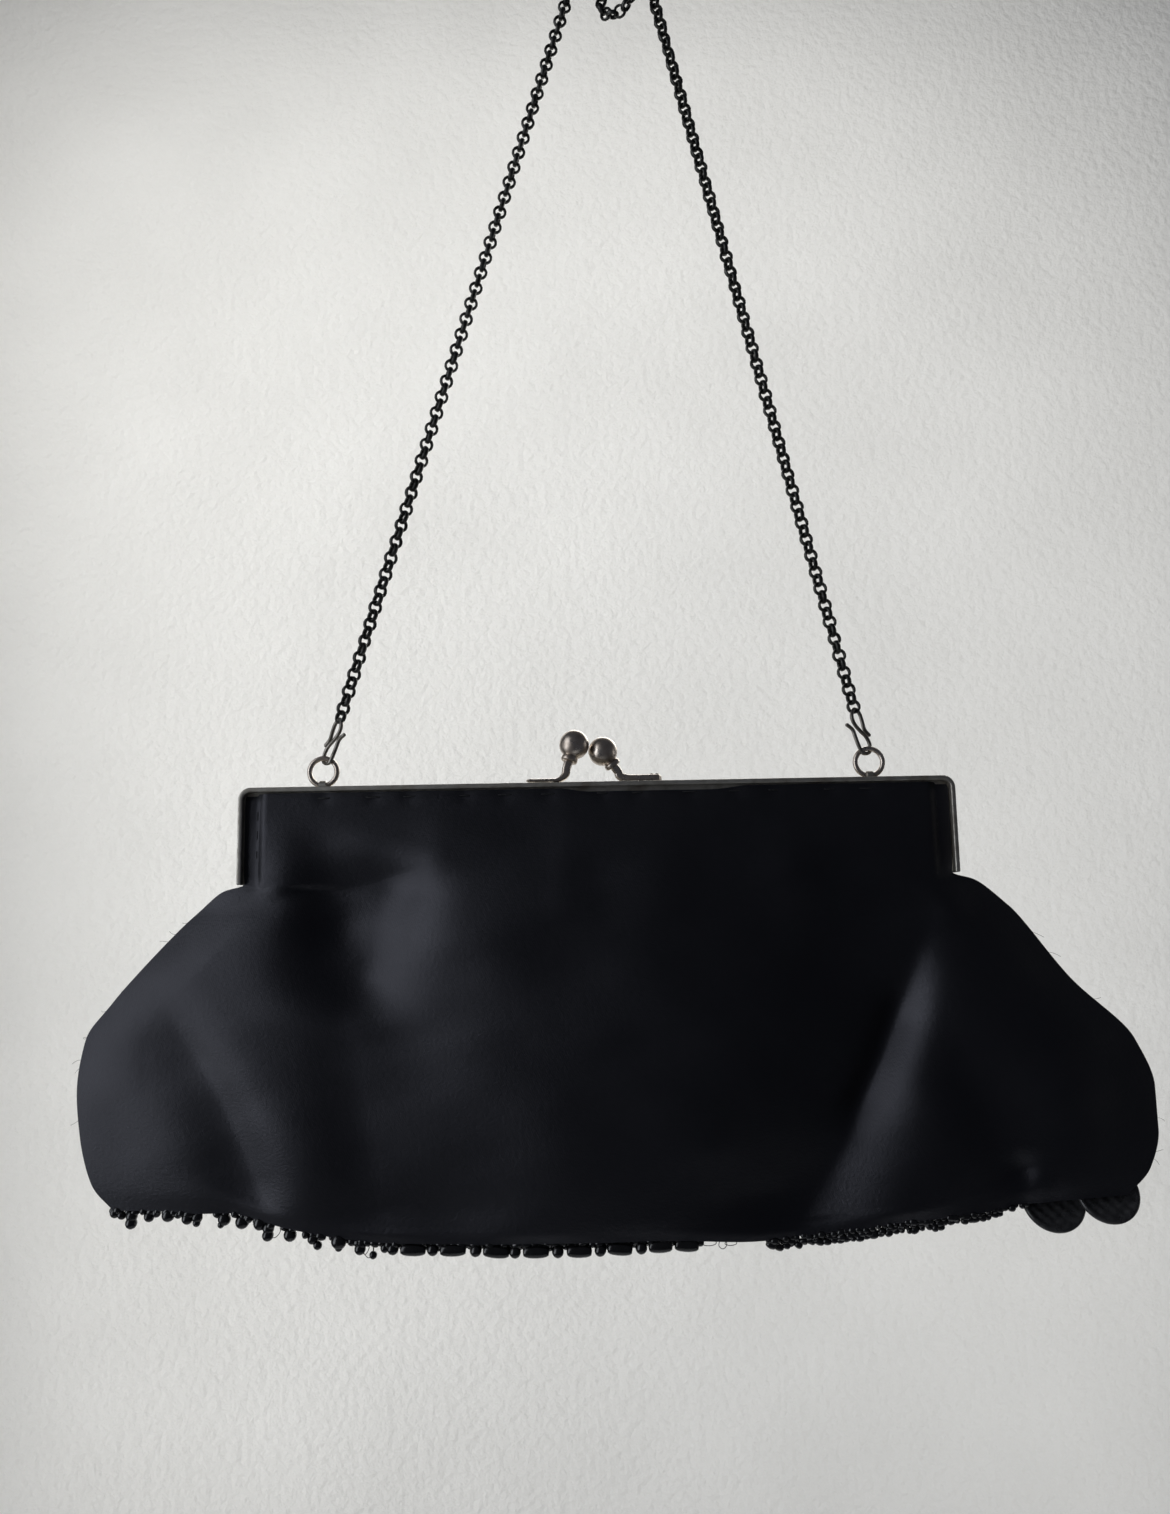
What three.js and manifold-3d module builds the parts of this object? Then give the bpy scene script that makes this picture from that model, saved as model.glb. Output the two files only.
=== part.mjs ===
// An evening clutch: a satin pouch on a metal frame with a ball clasp, hanging by its chain from a hook.
// Millimetres, +Z up. The origin is the point where the chain lies on top of the hook.
// The plain satin back faces -Y, the beaded front faces +Y, and -X is the left of someone facing the back.
// Sizes inside the bag are measured from the middle of the frame's top edge.
import * as THREE from "three";
import { mergeVertices } from "three/addons/utils/BufferGeometryUtils.js";
import Module from "manifold-3d";

const wasm = await Module();
wasm.setup();

// Fits between pieces
const GAP = 0.3;
const WELD = 1e-4;
const CURVE_STEPS = 4;
const NORMAL_STEP = 0.01;

// Metal frame, one half of it is a rim on the outside and a flange that the satin is sewn over
const FRAME_WIDTH = 200;
const FRAME_HEIGHT = 26;
const FRAME_CORNER = 5;
const RIM = 1.3;
const RIM_DEPTH = 5;
const FLANGE_WIDTH = 7;
const FLANGE_THICKNESS = 1;
const FLANGE_OFFSET = 2;
const LEAST_CORNER = 1;

// Hinge at the foot of each arm
const HINGE_RISE = 3.2;
const RIVET_RADIUS = 0.9;
const RIVET_HEAD_RADIUS = 1.7;
const RIVET_HEAD = 0.6;
const TAB_THICKNESS = 0.9;
const TAB_WIDTH = 4.2;
const TAB_HEIGHT = 5;
const TAB_OUTER_X = 96.6;
const ROUND_SIDES = 10;

// Chain rings and the lugs that hold them
const RING_X = 76.8;
const RING_RADIUS = 3.65;
const RING_WIRE = 0.65;
const RING_RISE = 0.5;
const RING_STEPS = 16;
const WIRE_SIDES = 6;
const LUG_RADIUS = 1.5;
const LUG_LENGTH = 2.2;
const LUG_RISE = 0.3;

// S-hooks: the way of the wire in its own plane, from the end of the upper loop to the end of the lower one
const HOOK_WIRE = 0.5;
const HOOK_STEPS = 32;
const HOOK_TURNS = { left: THREE.MathUtils.degToRad(120), right: THREE.MathUtils.degToRad(38) };
const HOOK_POINTS = [
  [3.4, 5.1],
  [2, 6.9],
  [2, 9.3],
  [1.7, 11.7],
  [0, 13.1],
  [-1.8, 11.5],
  [-2, 9.8],
  [-1.4, 8.3],
  [0.1, 6.5],
  [1.9, 4.6],
  [2.5, 2.4],
  [1.7, 0.4],
  [0, 0],
  [-1.7, 0.4],
  [-2.4, 2.4],
  [-2.8, 4.8],
  [-3.2, 7.3],
  [-5, 8.8],
];
const HOOK_HEIGHT = Math.max(...HOOK_POINTS.map(([, z]) => z));

// Chain
const LINK_RADIUS = 1.7;
const LINK_WIRE = 0.42;
const LINK_STEPS = 12;
const CHAIN_RADIUS = LINK_RADIUS + LINK_WIRE;
const CHAIN_SIDES = 8;
const PEG_X = 10.7;
const PEG_Z = 274;
const TURN_RADIUS = 6;
const TURN_SPREAD = 2.3;
const SLACK_RADIUS = 4.3;
const SLACK_DROP = 28.3;
const STRAND_STEPS = 6;
const ARC_STEPS = 7;
const LEG_STEPS = 3;

// Ball clasp
const COLLAR_RADIUS = 2.35;
const COLLAR_LENGTH = 1.7;
const STEM_RADIUS = 1.2;
const STEM_STEPS = 5;
const STEM_SIDES = 8;
const FOOT_WIDTH = 3.2;
const BALL_SIDES = 14;
const BALL_ROWS = 8;
const CLASPS = [
  {
    name: "clasp_left", side: -1, footEnd: -20, footStart: -9.6, footThickness: 0.9,
    neckX: -8.3, neckZ: 4.2, ballX: -6.1, ballY: -1.2, ballZ: 11, ballRadius: 4.2,
  },
  {
    name: "clasp_right", side: 1, footEnd: 19, footStart: 7.6, footThickness: 1.7,
    neckX: 6.3, neckZ: 3.4, ballX: 2.2, ballY: 1.4, ballZ: 9.3, ballRadius: 4.15,
  },
];

// Satin pouch
const WALL = 1.5;
const EASE = 0.1;
const HEM_LEFT_FLAT = 0.4;
const HEM_LEFT_END = 0.86;
const HEM_RIGHT_ROUND = 1.6;
const FULLNESS = 2.4;
const MOUTH = FRAME_WIDTH / 2 - RIM - 2 * GAP;
const MOUTH_TOP = MOUTH - FRAME_CORNER / 2;
const TUCK = RIM + GAP + EASE;
const SEWN = FLANGE_OFFSET + FLANGE_THICKNESS + GAP + WALL + 2 * EASE;
const SEAM = WALL + GAP / 2;
const FOLD_FADE = 8;
const FOLD_ENDS = 0.2;

// A row is one level of the pouch, from the frame's rim down to the hem: its left and right ends,
// the height of its middle, how far its ends stand off the seam plane, and how far its middle swells
// beyond them on back and front
const LEVELS = named(["leftX", "leftZ", "rightX", "rightZ", "middleZ", "ends", "back", "front"], [
  [-MOUTH_TOP, -TUCK, MOUTH_TOP, -TUCK, -TUCK, SEWN, 0, 0],
  [-MOUTH, -8, MOUTH, -8, -8, SEWN, 1.2, 1],
  [-MOUTH, -17, MOUTH, -17, -18, SEWN, 4.5, 4],
  [-MOUTH, -26.6, MOUTH, -26.6, -29.3, SEWN, 8.5, 7.5],
  [-104.3, -28.7, 104.8, -29.1, -40.5, 3.2, 12.5, 11],
  [-113.4, -35.9, 114.3, -36.4, -52.6, SEAM, 15.5, 14],
  [-134.5, -58.4, 130, -56.5, -67.4, SEAM, 17.6, 16.2],
  [-141.8, -68.8, 146.2, -72.9, -81, SEAM, 17.8, 16.6],
  [-143.6, -81.5, 150.8, -86, -94, SEAM, 17.2, 15.6],
  [-142.3, -94.1, 150.8, -97.2, -106, SEAM, 15.4, 12],
  [-138.5, -107.3, 147.8, -107.3, -115.8, SEAM, 12, 4.5],
  [-132.5, -114.2, 141.1, -114.4, -122.2, SEAM, 8, -8],
]);

// A row is one fold of the back: where it starts and ends, how far it spreads to either side of its line,
// and how high it stands (negative for a valley)
const BACK_FOLDS = named(["startX", "startZ", "endX", "endZ", "left", "right", "height"], [
  [-62, -22, -66, -62, 17, 11, -4.4],
  [-66, -56, -58, -118, 19, 30, -5],
  [-113, -67, -89, -113, 12, 10, -1.8],
  [87, -43, 55, -114, 24, 12, -5],
  [92, -64, 107, -112, 10, 15, -1],
  [-88, -6, -86, -26, 8, 8, 1.6],
]);
const LEVEL_STEPS = LEVELS.length - 1;
const BACK = { sign: -1, swell: "back", folds: BACK_FOLDS, columns: 30, rows: 2 * LEVEL_STEPS };
const FRONT = { sign: 1, swell: "front", folds: [], columns: 22, rows: LEVEL_STEPS };

// Beads along the hem: a zone has its own kinds of bead, laid in turn from one end to the other
const BEAD_SIDES = 8;
const HEM_BEHIND = 0.6;
const BEAD_RINGS = 2;
const BEAD_END = THREE.MathUtils.degToRad(75);
const BEADS = {
  small: { radius: 1.25, length: 2.5, roundness: 1 },
  round: { radius: 1.4, length: 2.8, roundness: 1 },
  barrel: { radius: 1.55, length: 6.5, roundness: 0.45 },
};
const HEM_ZONES = [
  { kinds: ["small"], fromX: -131, toX: -58, count: 15, drop: 0.5, sway: 0.4 },
  { kinds: ["barrel", "round"], fromX: -52, toX: 22, count: 15, drop: 0.35, sway: 0.1 },
];

// Discs on the front: rows of the regular field, and the two that hang over the hem
const DISC_RADIUS = 8.6;
const DISC_THICKNESS = 1;
const DISC_SIDES = 12;
const DISC_LIFT = 0.7;
const DISC_ROWS = [
  { count: 5, down: 0.32, spread: 0.72 },
  { count: 6, down: 0.47, spread: 0.76 },
  { count: 7, down: 0.62, spread: 0.78 },
  { count: 6, down: 0.77, spread: 0.62 },
];
const HEM_DISCS = [
  { x: 122.3, y: 3.2, z: -116.1, lean: -26 },
  { x: 137, y: 2.7, z: -114, lean: -26 },
];

// Finishes
const rimMetal = finish("rim_metal", 0x8f8c86, 1, 0.35);
const darkMetal = finish("dark_metal", 0x55524e, 1, 0.25);
const chainMetal = finish("chain_metal", 0x3f3d3b, 1, 0.3);
const satin = finish("satin", 0x101114, 0, 0.5);
const jet = finish("jet", 0x0a0a0b, 0, 0.12);

// The whole object, and the bag inside it
const group = new THREE.Group();
group.name = "clutch";
const bag = new THREE.Group();
bag.position.set(-PEG_X, 0, -(PEG_Z + TURN_RADIUS - CHAIN_RADIUS));
group.add(bag);

// A table's rows as objects with the names of its columns
function named(columns, rows) {
  return rows.map((row) => Object.fromEntries(columns.map((column, i) => [column, row[i]])));
}

function finish(name, color, metalness, roughness) {
  return new THREE.MeshStandardMaterial({ name, color, metalness, roughness });
}

function addPiece(name, geometry, material) {
  const ownMaterial = material.clone();
  ownMaterial.name = material.name;
  const mesh = new THREE.Mesh(geometry, ownMaterial);
  mesh.name = name;
  bag.add(mesh);
  return mesh;
}

// A closed geometry as a solid that can be joined and cut
function solidOf(geometry) {
  const bare = geometry.clone();
  bare.deleteAttribute("normal");
  bare.deleteAttribute("uv");
  const welded = mergeVertices(bare, WELD);
  return new wasm.Manifold(new wasm.Mesh({
    numProp: 3,
    vertProperties: new Float32Array(welded.attributes.position.array),
    triVerts: new Uint32Array(welded.index.array),
  }));
}

function geometryOf(solid) {
  const mesh = solid.getMesh();
  const geometry = new THREE.BufferGeometry();
  geometry.setAttribute("position", new THREE.BufferAttribute(mesh.vertProperties, 3));
  geometry.setIndex(new THREE.BufferAttribute(mesh.triVerts, 1));
  geometry.computeVertexNormals();
  return geometry;
}

function joined(geometries) {
  return geometries.map(solidOf).reduce((whole, next) => whole.add(next));
}

// A round wire or cord along a path
function tube(path, radius, sides, steps) {
  const section = new THREE.Shape();
  for (let i = 0; i < sides; i += 1) {
    const angle = (2 * Math.PI * i) / sides;
    const x = radius * Math.cos(angle);
    const y = radius * Math.sin(angle);
    if (i === 0) section.moveTo(x, y);
    else section.lineTo(x, y);
  }
  section.closePath();
  return new THREE.ExtrudeGeometry(section, { steps, extrudePath: path, bevelEnabled: false });
}

// A flat shape drawn in the frame's plane, as thick as asked, its near face so far towards the back
function plate(shape, near, thickness) {
  const options = { depth: thickness, bevelEnabled: false, curveSegments: CURVE_STEPS };
  return new THREE.ExtrudeGeometry(shape, options).rotateX(Math.PI / 2).translate(0, -near, 0);
}

// Frame halves: the two are one shape, the second turned half way round
function archBand(inset, width) {
  const half = FRAME_WIDTH / 2 - inset;
  const corner = FRAME_CORNER - inset;
  const innerHalf = half - width;
  const innerCorner = Math.max(corner - width, LEAST_CORNER);
  const top = -inset;
  const innerTop = top - width;
  const band = new THREE.Shape();
  band.moveTo(-half, -FRAME_HEIGHT);
  band.lineTo(-half, top - corner);
  band.absarc(-half + corner, top - corner, corner, Math.PI, Math.PI / 2, true);
  band.lineTo(half - corner, top);
  band.absarc(half - corner, top - corner, corner, Math.PI / 2, 0, true);
  band.lineTo(half, -FRAME_HEIGHT);
  band.lineTo(innerHalf, -FRAME_HEIGHT);
  band.lineTo(innerHalf, innerTop - innerCorner);
  band.absarc(innerHalf - innerCorner, innerTop - innerCorner, innerCorner, 0, Math.PI / 2, false);
  band.lineTo(-innerHalf + innerCorner, innerTop);
  band.absarc(-innerHalf + innerCorner, innerTop - innerCorner, innerCorner, Math.PI / 2, Math.PI, false);
  band.lineTo(-innerHalf, -FRAME_HEIGHT);
  band.closePath();
  return band;
}

const HINGE_Z = -FRAME_HEIGHT + HINGE_RISE;
const TAB_INNER_X = TAB_OUTER_X - TAB_THICKNESS - GAP;

// A hinge tab reaches from the flange across to the other half
function hingeTab(x) {
  const tab = new THREE.BoxGeometry(TAB_THICKNESS, TAB_WIDTH, TAB_HEIGHT);
  tab.translate(x, -FLANGE_OFFSET + TAB_WIDTH / 2 - FLANGE_THICKNESS / 2, HINGE_Z);
  const holeRadius = RIVET_RADIUS + GAP;
  const hole = new THREE.CylinderGeometry(holeRadius, holeRadius, 2 * TAB_THICKNESS, ROUND_SIDES);
  hole.rotateZ(Math.PI / 2).translate(x, 0, HINGE_Z);
  return solidOf(tab).subtract(solidOf(hole));
}

function frameHalf() {
  const rim = solidOf(plate(archBand(0, RIM), GAP, RIM_DEPTH));
  const flange = solidOf(plate(archBand(RIM / 2, FLANGE_WIDTH), FLANGE_OFFSET, FLANGE_THICKNESS));
  return rim.add(flange).add(hingeTab(-TAB_OUTER_X)).add(hingeTab(TAB_INNER_X));
}

// Rings stand face on in the middle of the back half's rim
const RING_Y = -(GAP + RIM_DEPTH / 2);
const RING_Z = RING_RADIUS + RING_RISE;

function ringAt(x, wire) {
  const ring = new THREE.TorusGeometry(RING_RADIUS, wire, WIRE_SIDES, RING_STEPS);
  return ring.rotateX(Math.PI / 2).translate(x, RING_Y, RING_Z);
}

function ringLug(x) {
  const lug = new THREE.CylinderGeometry(LUG_RADIUS, LUG_RADIUS, LUG_LENGTH, ROUND_SIDES);
  return solidOf(lug.rotateZ(Math.PI / 2).translate(x, RING_Y, LUG_RISE));
}

let frameBack = frameHalf();
for (const x of [-RING_X, RING_X]) {
  frameBack = frameBack.add(ringLug(x)).subtract(solidOf(ringAt(x, RING_WIRE + GAP)));
}
addPiece("frame_back", geometryOf(frameBack), rimMetal);
addPiece("frame_front", geometryOf(frameHalf()), rimMetal).rotation.z = Math.PI;

// Hinge rivets run across through both tabs
function rivet() {
  const inner = TAB_INNER_X - TAB_THICKNESS / 2 - GAP;
  const outer = TAB_OUTER_X + TAB_THICKNESS / 2 + GAP;
  const profile = [
    new THREE.Vector2(0, inner - RIVET_HEAD),
    new THREE.Vector2(RIVET_HEAD_RADIUS, inner - RIVET_HEAD),
    new THREE.Vector2(RIVET_HEAD_RADIUS, inner),
    new THREE.Vector2(RIVET_RADIUS, inner),
    new THREE.Vector2(RIVET_RADIUS, outer),
    new THREE.Vector2(RIVET_HEAD_RADIUS, outer),
    new THREE.Vector2(RIVET_HEAD_RADIUS, outer + RIVET_HEAD),
    new THREE.Vector2(0, outer + RIVET_HEAD),
  ];
  return new THREE.LatheGeometry(profile, ROUND_SIDES);
}
const rivetLeft = addPiece("hinge_rivet_left", rivet(), darkMetal);
rivetLeft.position.z = HINGE_Z;
rivetLeft.rotation.z = Math.PI / 2;
const rivetRight = addPiece("hinge_rivet_right", rivet(), darkMetal);
rivetRight.position.z = HINGE_Z;
rivetRight.rotation.z = -Math.PI / 2;

// Ball clasp: a foot along the rim, a stem that leans over to the middle, a collar and a ball
for (const clasp of CLASPS) {
  const rimY = clasp.side * (GAP + RIM_DEPTH / 2);
  const ball = new THREE.Vector3(clasp.ballX, clasp.ballY, clasp.ballZ);
  const neck = new THREE.Vector3(clasp.neckX, rimY, clasp.neckZ);
  const lean = ball.clone().sub(neck).normalize();
  const collarAt = ball.clone().addScaledVector(lean, -(clasp.ballRadius + COLLAR_LENGTH / 2 - GAP));
  const footZ = GAP + clasp.footThickness / 2;
  const footLength = Math.abs(clasp.footEnd - clasp.footStart);
  const foot = new THREE.BoxGeometry(footLength - FOOT_WIDTH / 2, FOOT_WIDTH, clasp.footThickness);
  foot.translate((clasp.footEnd + clasp.footStart) / 2 - (clasp.side * FOOT_WIDTH) / 4, rimY, footZ);
  const toe = new THREE.CylinderGeometry(FOOT_WIDTH / 2, FOOT_WIDTH / 2, clasp.footThickness, ROUND_SIDES);
  toe.rotateX(Math.PI / 2).translate(clasp.footEnd - (clasp.side * FOOT_WIDTH) / 2, rimY, footZ);
  const stemPath = new THREE.CatmullRomCurve3([
    new THREE.Vector3(clasp.footStart + clasp.side, rimY, GAP + FOOT_WIDTH / 2),
    new THREE.Vector3((clasp.footStart + clasp.neckX) / 2, rimY, (footZ + clasp.neckZ) / 2),
    neck,
    ball,
  ]);
  const stem = tube(stemPath, STEM_RADIUS, STEM_SIDES, STEM_STEPS);
  const collar = new THREE.CylinderGeometry(COLLAR_RADIUS, COLLAR_RADIUS, COLLAR_LENGTH, ROUND_SIDES);
  collar.applyQuaternion(new THREE.Quaternion().setFromUnitVectors(new THREE.Vector3(0, 1, 0), lean));
  collar.translate(collarAt.x, collarAt.y, collarAt.z);
  const sphere = new THREE.SphereGeometry(clasp.ballRadius, BALL_SIDES, BALL_ROWS);
  sphere.rotateX(Math.PI / 2).translate(ball.x, ball.y, ball.z);
  addPiece(clasp.name, geometryOf(joined([foot, toe, stem, collar, sphere])), darkMetal);
}

// Chain rings
addPiece("ring_left", ringAt(-RING_X, RING_WIRE), darkMetal);
addPiece("ring_right", ringAt(RING_X, RING_WIRE), darkMetal);

// Each strand pulls straight from its ring's centre to the hook: its lean from the vertical, and its length
function strand(side) {
  const foot = new THREE.Vector2(side * RING_X, RING_Z);
  const toPeg = new THREE.Vector2(PEG_X, PEG_Z).sub(foot);
  const lean = Math.atan2(toPeg.x, toPeg.y) + side * Math.asin(TURN_RADIUS / toPeg.length());
  const length = Math.sqrt(toPeg.lengthSq() - TURN_RADIUS ** 2);
  return { side, foot, lean, length };
}
const STRANDS = { left: strand(-1), right: strand(1) };

// A point on a strand's line, so far up from the ring's centre
function onStrand(run, up) {
  const x = run.foot.x + up * Math.sin(run.lean);
  const z = run.foot.y + up * Math.cos(run.lean);
  return new THREE.Vector3(x, RING_Y, z);
}

// S-hook, drawn upright in the XZ plane with the bottom of its lower loop at the origin
function hookPath() {
  const points = HOOK_POINTS.map(([x, z]) => new THREE.Vector3(x, 0, z));
  return new THREE.CatmullRomCurve3(points, false, "centripetal");
}

const HOOK_SEAT = RING_RADIUS - (RING_WIRE + HOOK_WIRE + GAP);
const LINK_SEAT = HOOK_SEAT + HOOK_HEIGHT - (HOOK_WIRE + LINK_WIRE + GAP) + LINK_RADIUS;
const CHAIN_START = LINK_SEAT + LINK_RADIUS + LINK_WIRE + GAP;

function addFittings(end, run) {
  const hook = tube(hookPath(), HOOK_WIRE, WIRE_SIDES, HOOK_STEPS);
  const hookMesh = addPiece(`s_hook_${end}`, hook, darkMetal);
  hookMesh.position.copy(onStrand(run, HOOK_SEAT));
  const facing = HOOK_TURNS[end];
  hookMesh.rotation.set(0, run.lean, facing, "YZX");
  const link = new THREE.TorusGeometry(LINK_RADIUS, LINK_WIRE, WIRE_SIDES, LINK_STEPS).rotateX(Math.PI / 2);
  const linkMesh = addPiece(`end_link_${end}`, link, chainMetal);
  linkMesh.position.copy(onStrand(run, LINK_SEAT));
  linkMesh.rotation.set(0, run.lean, facing + Math.PI / 2, "YZX");
}
addFittings("left", STRANDS.left);
addFittings("right", STRANDS.right);

// The chain's way: up the left strand, over the hook, down into a slack loop, over again and down the right
function alongLine(from, to, steps) {
  const points = [];
  for (let i = 0; i < steps; i += 1) {
    const share = i / steps;
    points.push(from.clone().lerp(to, share));
  }
  return points;
}

function alongArc(x, z, radius, fromAngle, toAngle, fromY, toY) {
  const points = [];
  for (let i = 0; i < ARC_STEPS; i += 1) {
    const share = i / ARC_STEPS;
    const angle = THREE.MathUtils.lerp(fromAngle, toAngle, share);
    const y = THREE.MathUtils.lerp(fromY, toY, THREE.MathUtils.smoothstep(share, 0, 1));
    points.push(new THREE.Vector3(x + radius * Math.cos(angle), y, z + radius * Math.sin(angle)));
  }
  return points;
}

function touchPoint(run, y) {
  const point = onStrand(run, run.length);
  point.y = y;
  return point;
}

function chainPoints() {
  const slackZ = PEG_Z - SLACK_DROP;
  const first = touchPoint(STRANDS.left, -TURN_SPREAD);
  const last = touchPoint(STRANDS.right, TURN_SPREAD);
  const firstAngle = Math.atan2(first.z - PEG_Z, first.x - PEG_X);
  const lastAngle = Math.atan2(last.z - PEG_Z, last.x - PEG_X);
  const end = onStrand(STRANDS.right, CHAIN_START);
  return [
    ...alongLine(onStrand(STRANDS.left, CHAIN_START), first, STRAND_STEPS),
    ...alongArc(PEG_X, PEG_Z, TURN_RADIUS, firstAngle, 0, -TURN_SPREAD, -TURN_SPREAD),
    ...alongLine(new THREE.Vector3(PEG_X + TURN_RADIUS, -TURN_SPREAD, PEG_Z),
      new THREE.Vector3(PEG_X + SLACK_RADIUS, -TURN_SPREAD, slackZ), LEG_STEPS),
    ...alongArc(PEG_X, slackZ, SLACK_RADIUS, 0, -Math.PI, -TURN_SPREAD, TURN_SPREAD),
    ...alongLine(new THREE.Vector3(PEG_X - SLACK_RADIUS, TURN_SPREAD, slackZ),
      new THREE.Vector3(PEG_X - TURN_RADIUS, TURN_SPREAD, PEG_Z), LEG_STEPS),
    ...alongArc(PEG_X, PEG_Z, TURN_RADIUS, Math.PI, lastAngle, TURN_SPREAD, TURN_SPREAD),
    ...alongLine(last, end, STRAND_STEPS),
    end,
  ];
}

// A route through given points, with one section at each of them
class Route extends THREE.Curve {
  constructor(points) {
    super();
    this.points = points;
  }

  getPoint(share, target = new THREE.Vector3()) {
    const place = share * (this.points.length - 1);
    const before = Math.min(Math.floor(place), this.points.length - 2);
    return target.lerpVectors(this.points[before], this.points[before + 1], place - before);
  }

  getTangent(share, target = new THREE.Vector3()) {
    const place = Math.round(share * (this.points.length - 1));
    const before = this.points[Math.max(place - 1, 0)];
    const after = this.points[Math.min(place + 1, this.points.length - 1)];
    return target.copy(after).sub(before).normalize();
  }

  getUtoTmapping(share) {
    return share;
  }
}

const chainRoute = new Route(chainPoints());
addPiece("chain", tube(chainRoute, CHAIN_RADIUS, CHAIN_SIDES, chainRoute.points.length - 1), chainMetal);

// A column of a table at a share of the way down it, smooth and without overshoot
function levelValue(column, share) {
  const last = LEVEL_STEPS;
  const at = (i) => LEVELS[Math.min(Math.max(i, 0), last)][column];
  const slope = (i) => {
    const before = at(i) - at(i - 1);
    const after = at(i + 1) - at(i);
    if (i <= 0) return after;
    if (i >= last) return before;
    return before * after <= 0 ? 0 : (2 * before * after) / (before + after);
  };
  const place = share * last;
  const i = Math.min(Math.floor(place), last - 1);
  const t = place - i;
  const nearer = THREE.MathUtils.smoothstep(t, 0, 1);
  const bow = t * (1 - t);
  const straight = THREE.MathUtils.lerp(at(i), at(i + 1), nearer);
  return straight + bow * ((1 - t) * slope(i) - t * slope(i + 1));
}

// How far the folds raise the cloth at a place on the panel
function foldHeight(folds, x, z) {
  let height = 0;
  for (const fold of folds) {
    const run = new THREE.Vector2(fold.endX - fold.startX, fold.endZ - fold.startZ);
    const away = new THREE.Vector2(x - fold.startX, z - fold.startZ);
    const share = away.dot(run) / run.lengthSq();
    const off = run.cross(away) / run.length();
    const width = off < 0 ? fold.left : fold.right;
    const start = THREE.MathUtils.smoothstep(share, -FOLD_ENDS, FOLD_ENDS);
    const end = THREE.MathUtils.smoothstep(share, 1 - FOLD_ENDS, 1 + FOLD_ENDS);
    height += fold.height * start * (1 - end) * Math.exp(-((off / width) ** 2));
  }
  return height;
}

// How far a level's height has come from its end's to its middle's, by its share of the way across
function sag(across) {
  if (across > 0) return (1 - across ** 2) ** HEM_RIGHT_ROUND;
  return 1 - THREE.MathUtils.smoothstep(-across, HEM_LEFT_FLAT, HEM_LEFT_END);
}

// A point on a panel's outer face, by its share of the way across (-1 to 1) and down (0 to 1)
function clothPoint(panel, across, down) {
  const end = across < 0 ? "left" : "right";
  const x = Math.abs(across) * levelValue(`${end}X`, down);
  const endZ = levelValue(`${end}Z`, down);
  const z = THREE.MathUtils.lerp(endZ, levelValue("middleZ", down), sag(across));
  const bulge = 1 - Math.abs(across) ** FULLNESS;
  const depth = ((levelValue("back", down) + levelValue("front", down)) / 2) * bulge;
  const fold = foldHeight(panel.folds, x, z) * Math.min(depth / FOLD_FADE, 1);
  const swell = levelValue(panel.swell, down) * bulge;
  return new THREE.Vector3(x, panel.sign * (levelValue("ends", down) + swell + fold), z);
}

function clothNormal(panel, across, down) {
  const left = clothPoint(panel, Math.max(across - NORMAL_STEP, -1), down);
  const right = clothPoint(panel, Math.min(across + NORMAL_STEP, 1), down);
  const above = clothPoint(panel, across, Math.max(down - NORMAL_STEP, 0));
  const below = clothPoint(panel, across, Math.min(down + NORMAL_STEP, 1));
  return right.sub(left).cross(below.sub(above)).normalize().multiplyScalar(panel.sign);
}

// A panel: its outer face, its inner face one wall further in, and the edge between them
function panelGeometry(panel) {
  const { columns, rows } = panel;
  const outer = [];
  const inner = [];
  for (let row = 0; row <= rows; row += 1) {
    for (let column = 0; column <= columns; column += 1) {
      const across = (2 * column) / columns - 1;
      const point = clothPoint(panel, across, row / rows);
      const inward = clothNormal(panel, across, row / rows).multiplyScalar(-WALL);
      outer.push(...point.toArray());
      inner.push(...point.add(inward).toArray());
    }
  }
  const count = (columns + 1) * (rows + 1);
  const place = (row, column) => row * (columns + 1) + column;
  const faces = [];
  const quad = (a, b, c, d) => {
    if (panel.sign < 0) faces.push(a, b, c, a, c, d);
    else faces.push(a, c, b, a, d, c);
  };
  for (let row = 0; row < rows; row += 1) {
    for (let column = 0; column < columns; column += 1) {
      const near = place(row, column);
      const below = place(row + 1, column);
      const corners = [near, below, below + 1, near + 1];
      quad(...corners);
      quad(...corners.map((corner) => corner + count).reverse());
    }
  }
  const edge = (a, b) => quad(a, b, b + count, a + count);
  for (let column = 0; column < columns; column += 1) {
    edge(place(0, column), place(0, column + 1));
    edge(place(rows, column + 1), place(rows, column));
  }
  for (let row = 0; row < rows; row += 1) {
    edge(place(row + 1, 0), place(row, 0));
    edge(place(row, columns), place(row + 1, columns));
  }
  const geometry = new THREE.BufferGeometry();
  geometry.setAttribute("position", new THREE.Float32BufferAttribute([...outer, ...inner], 3));
  geometry.setIndex(faces);
  geometry.computeVertexNormals();
  return geometry;
}
addPiece("pouch_back", panelGeometry(BACK), satin);
addPiece("pouch_front", panelGeometry(FRONT), satin);

// Hem beads hang just under the seam, on one thread
function hemPoint(x) {
  const end = x < 0 ? levelValue("leftX", 1) : levelValue("rightX", 1);
  const point = clothPoint(FRONT, x / Math.abs(end), 1);
  point.y += HEM_BEHIND - SEAM;
  return point;
}

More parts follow.
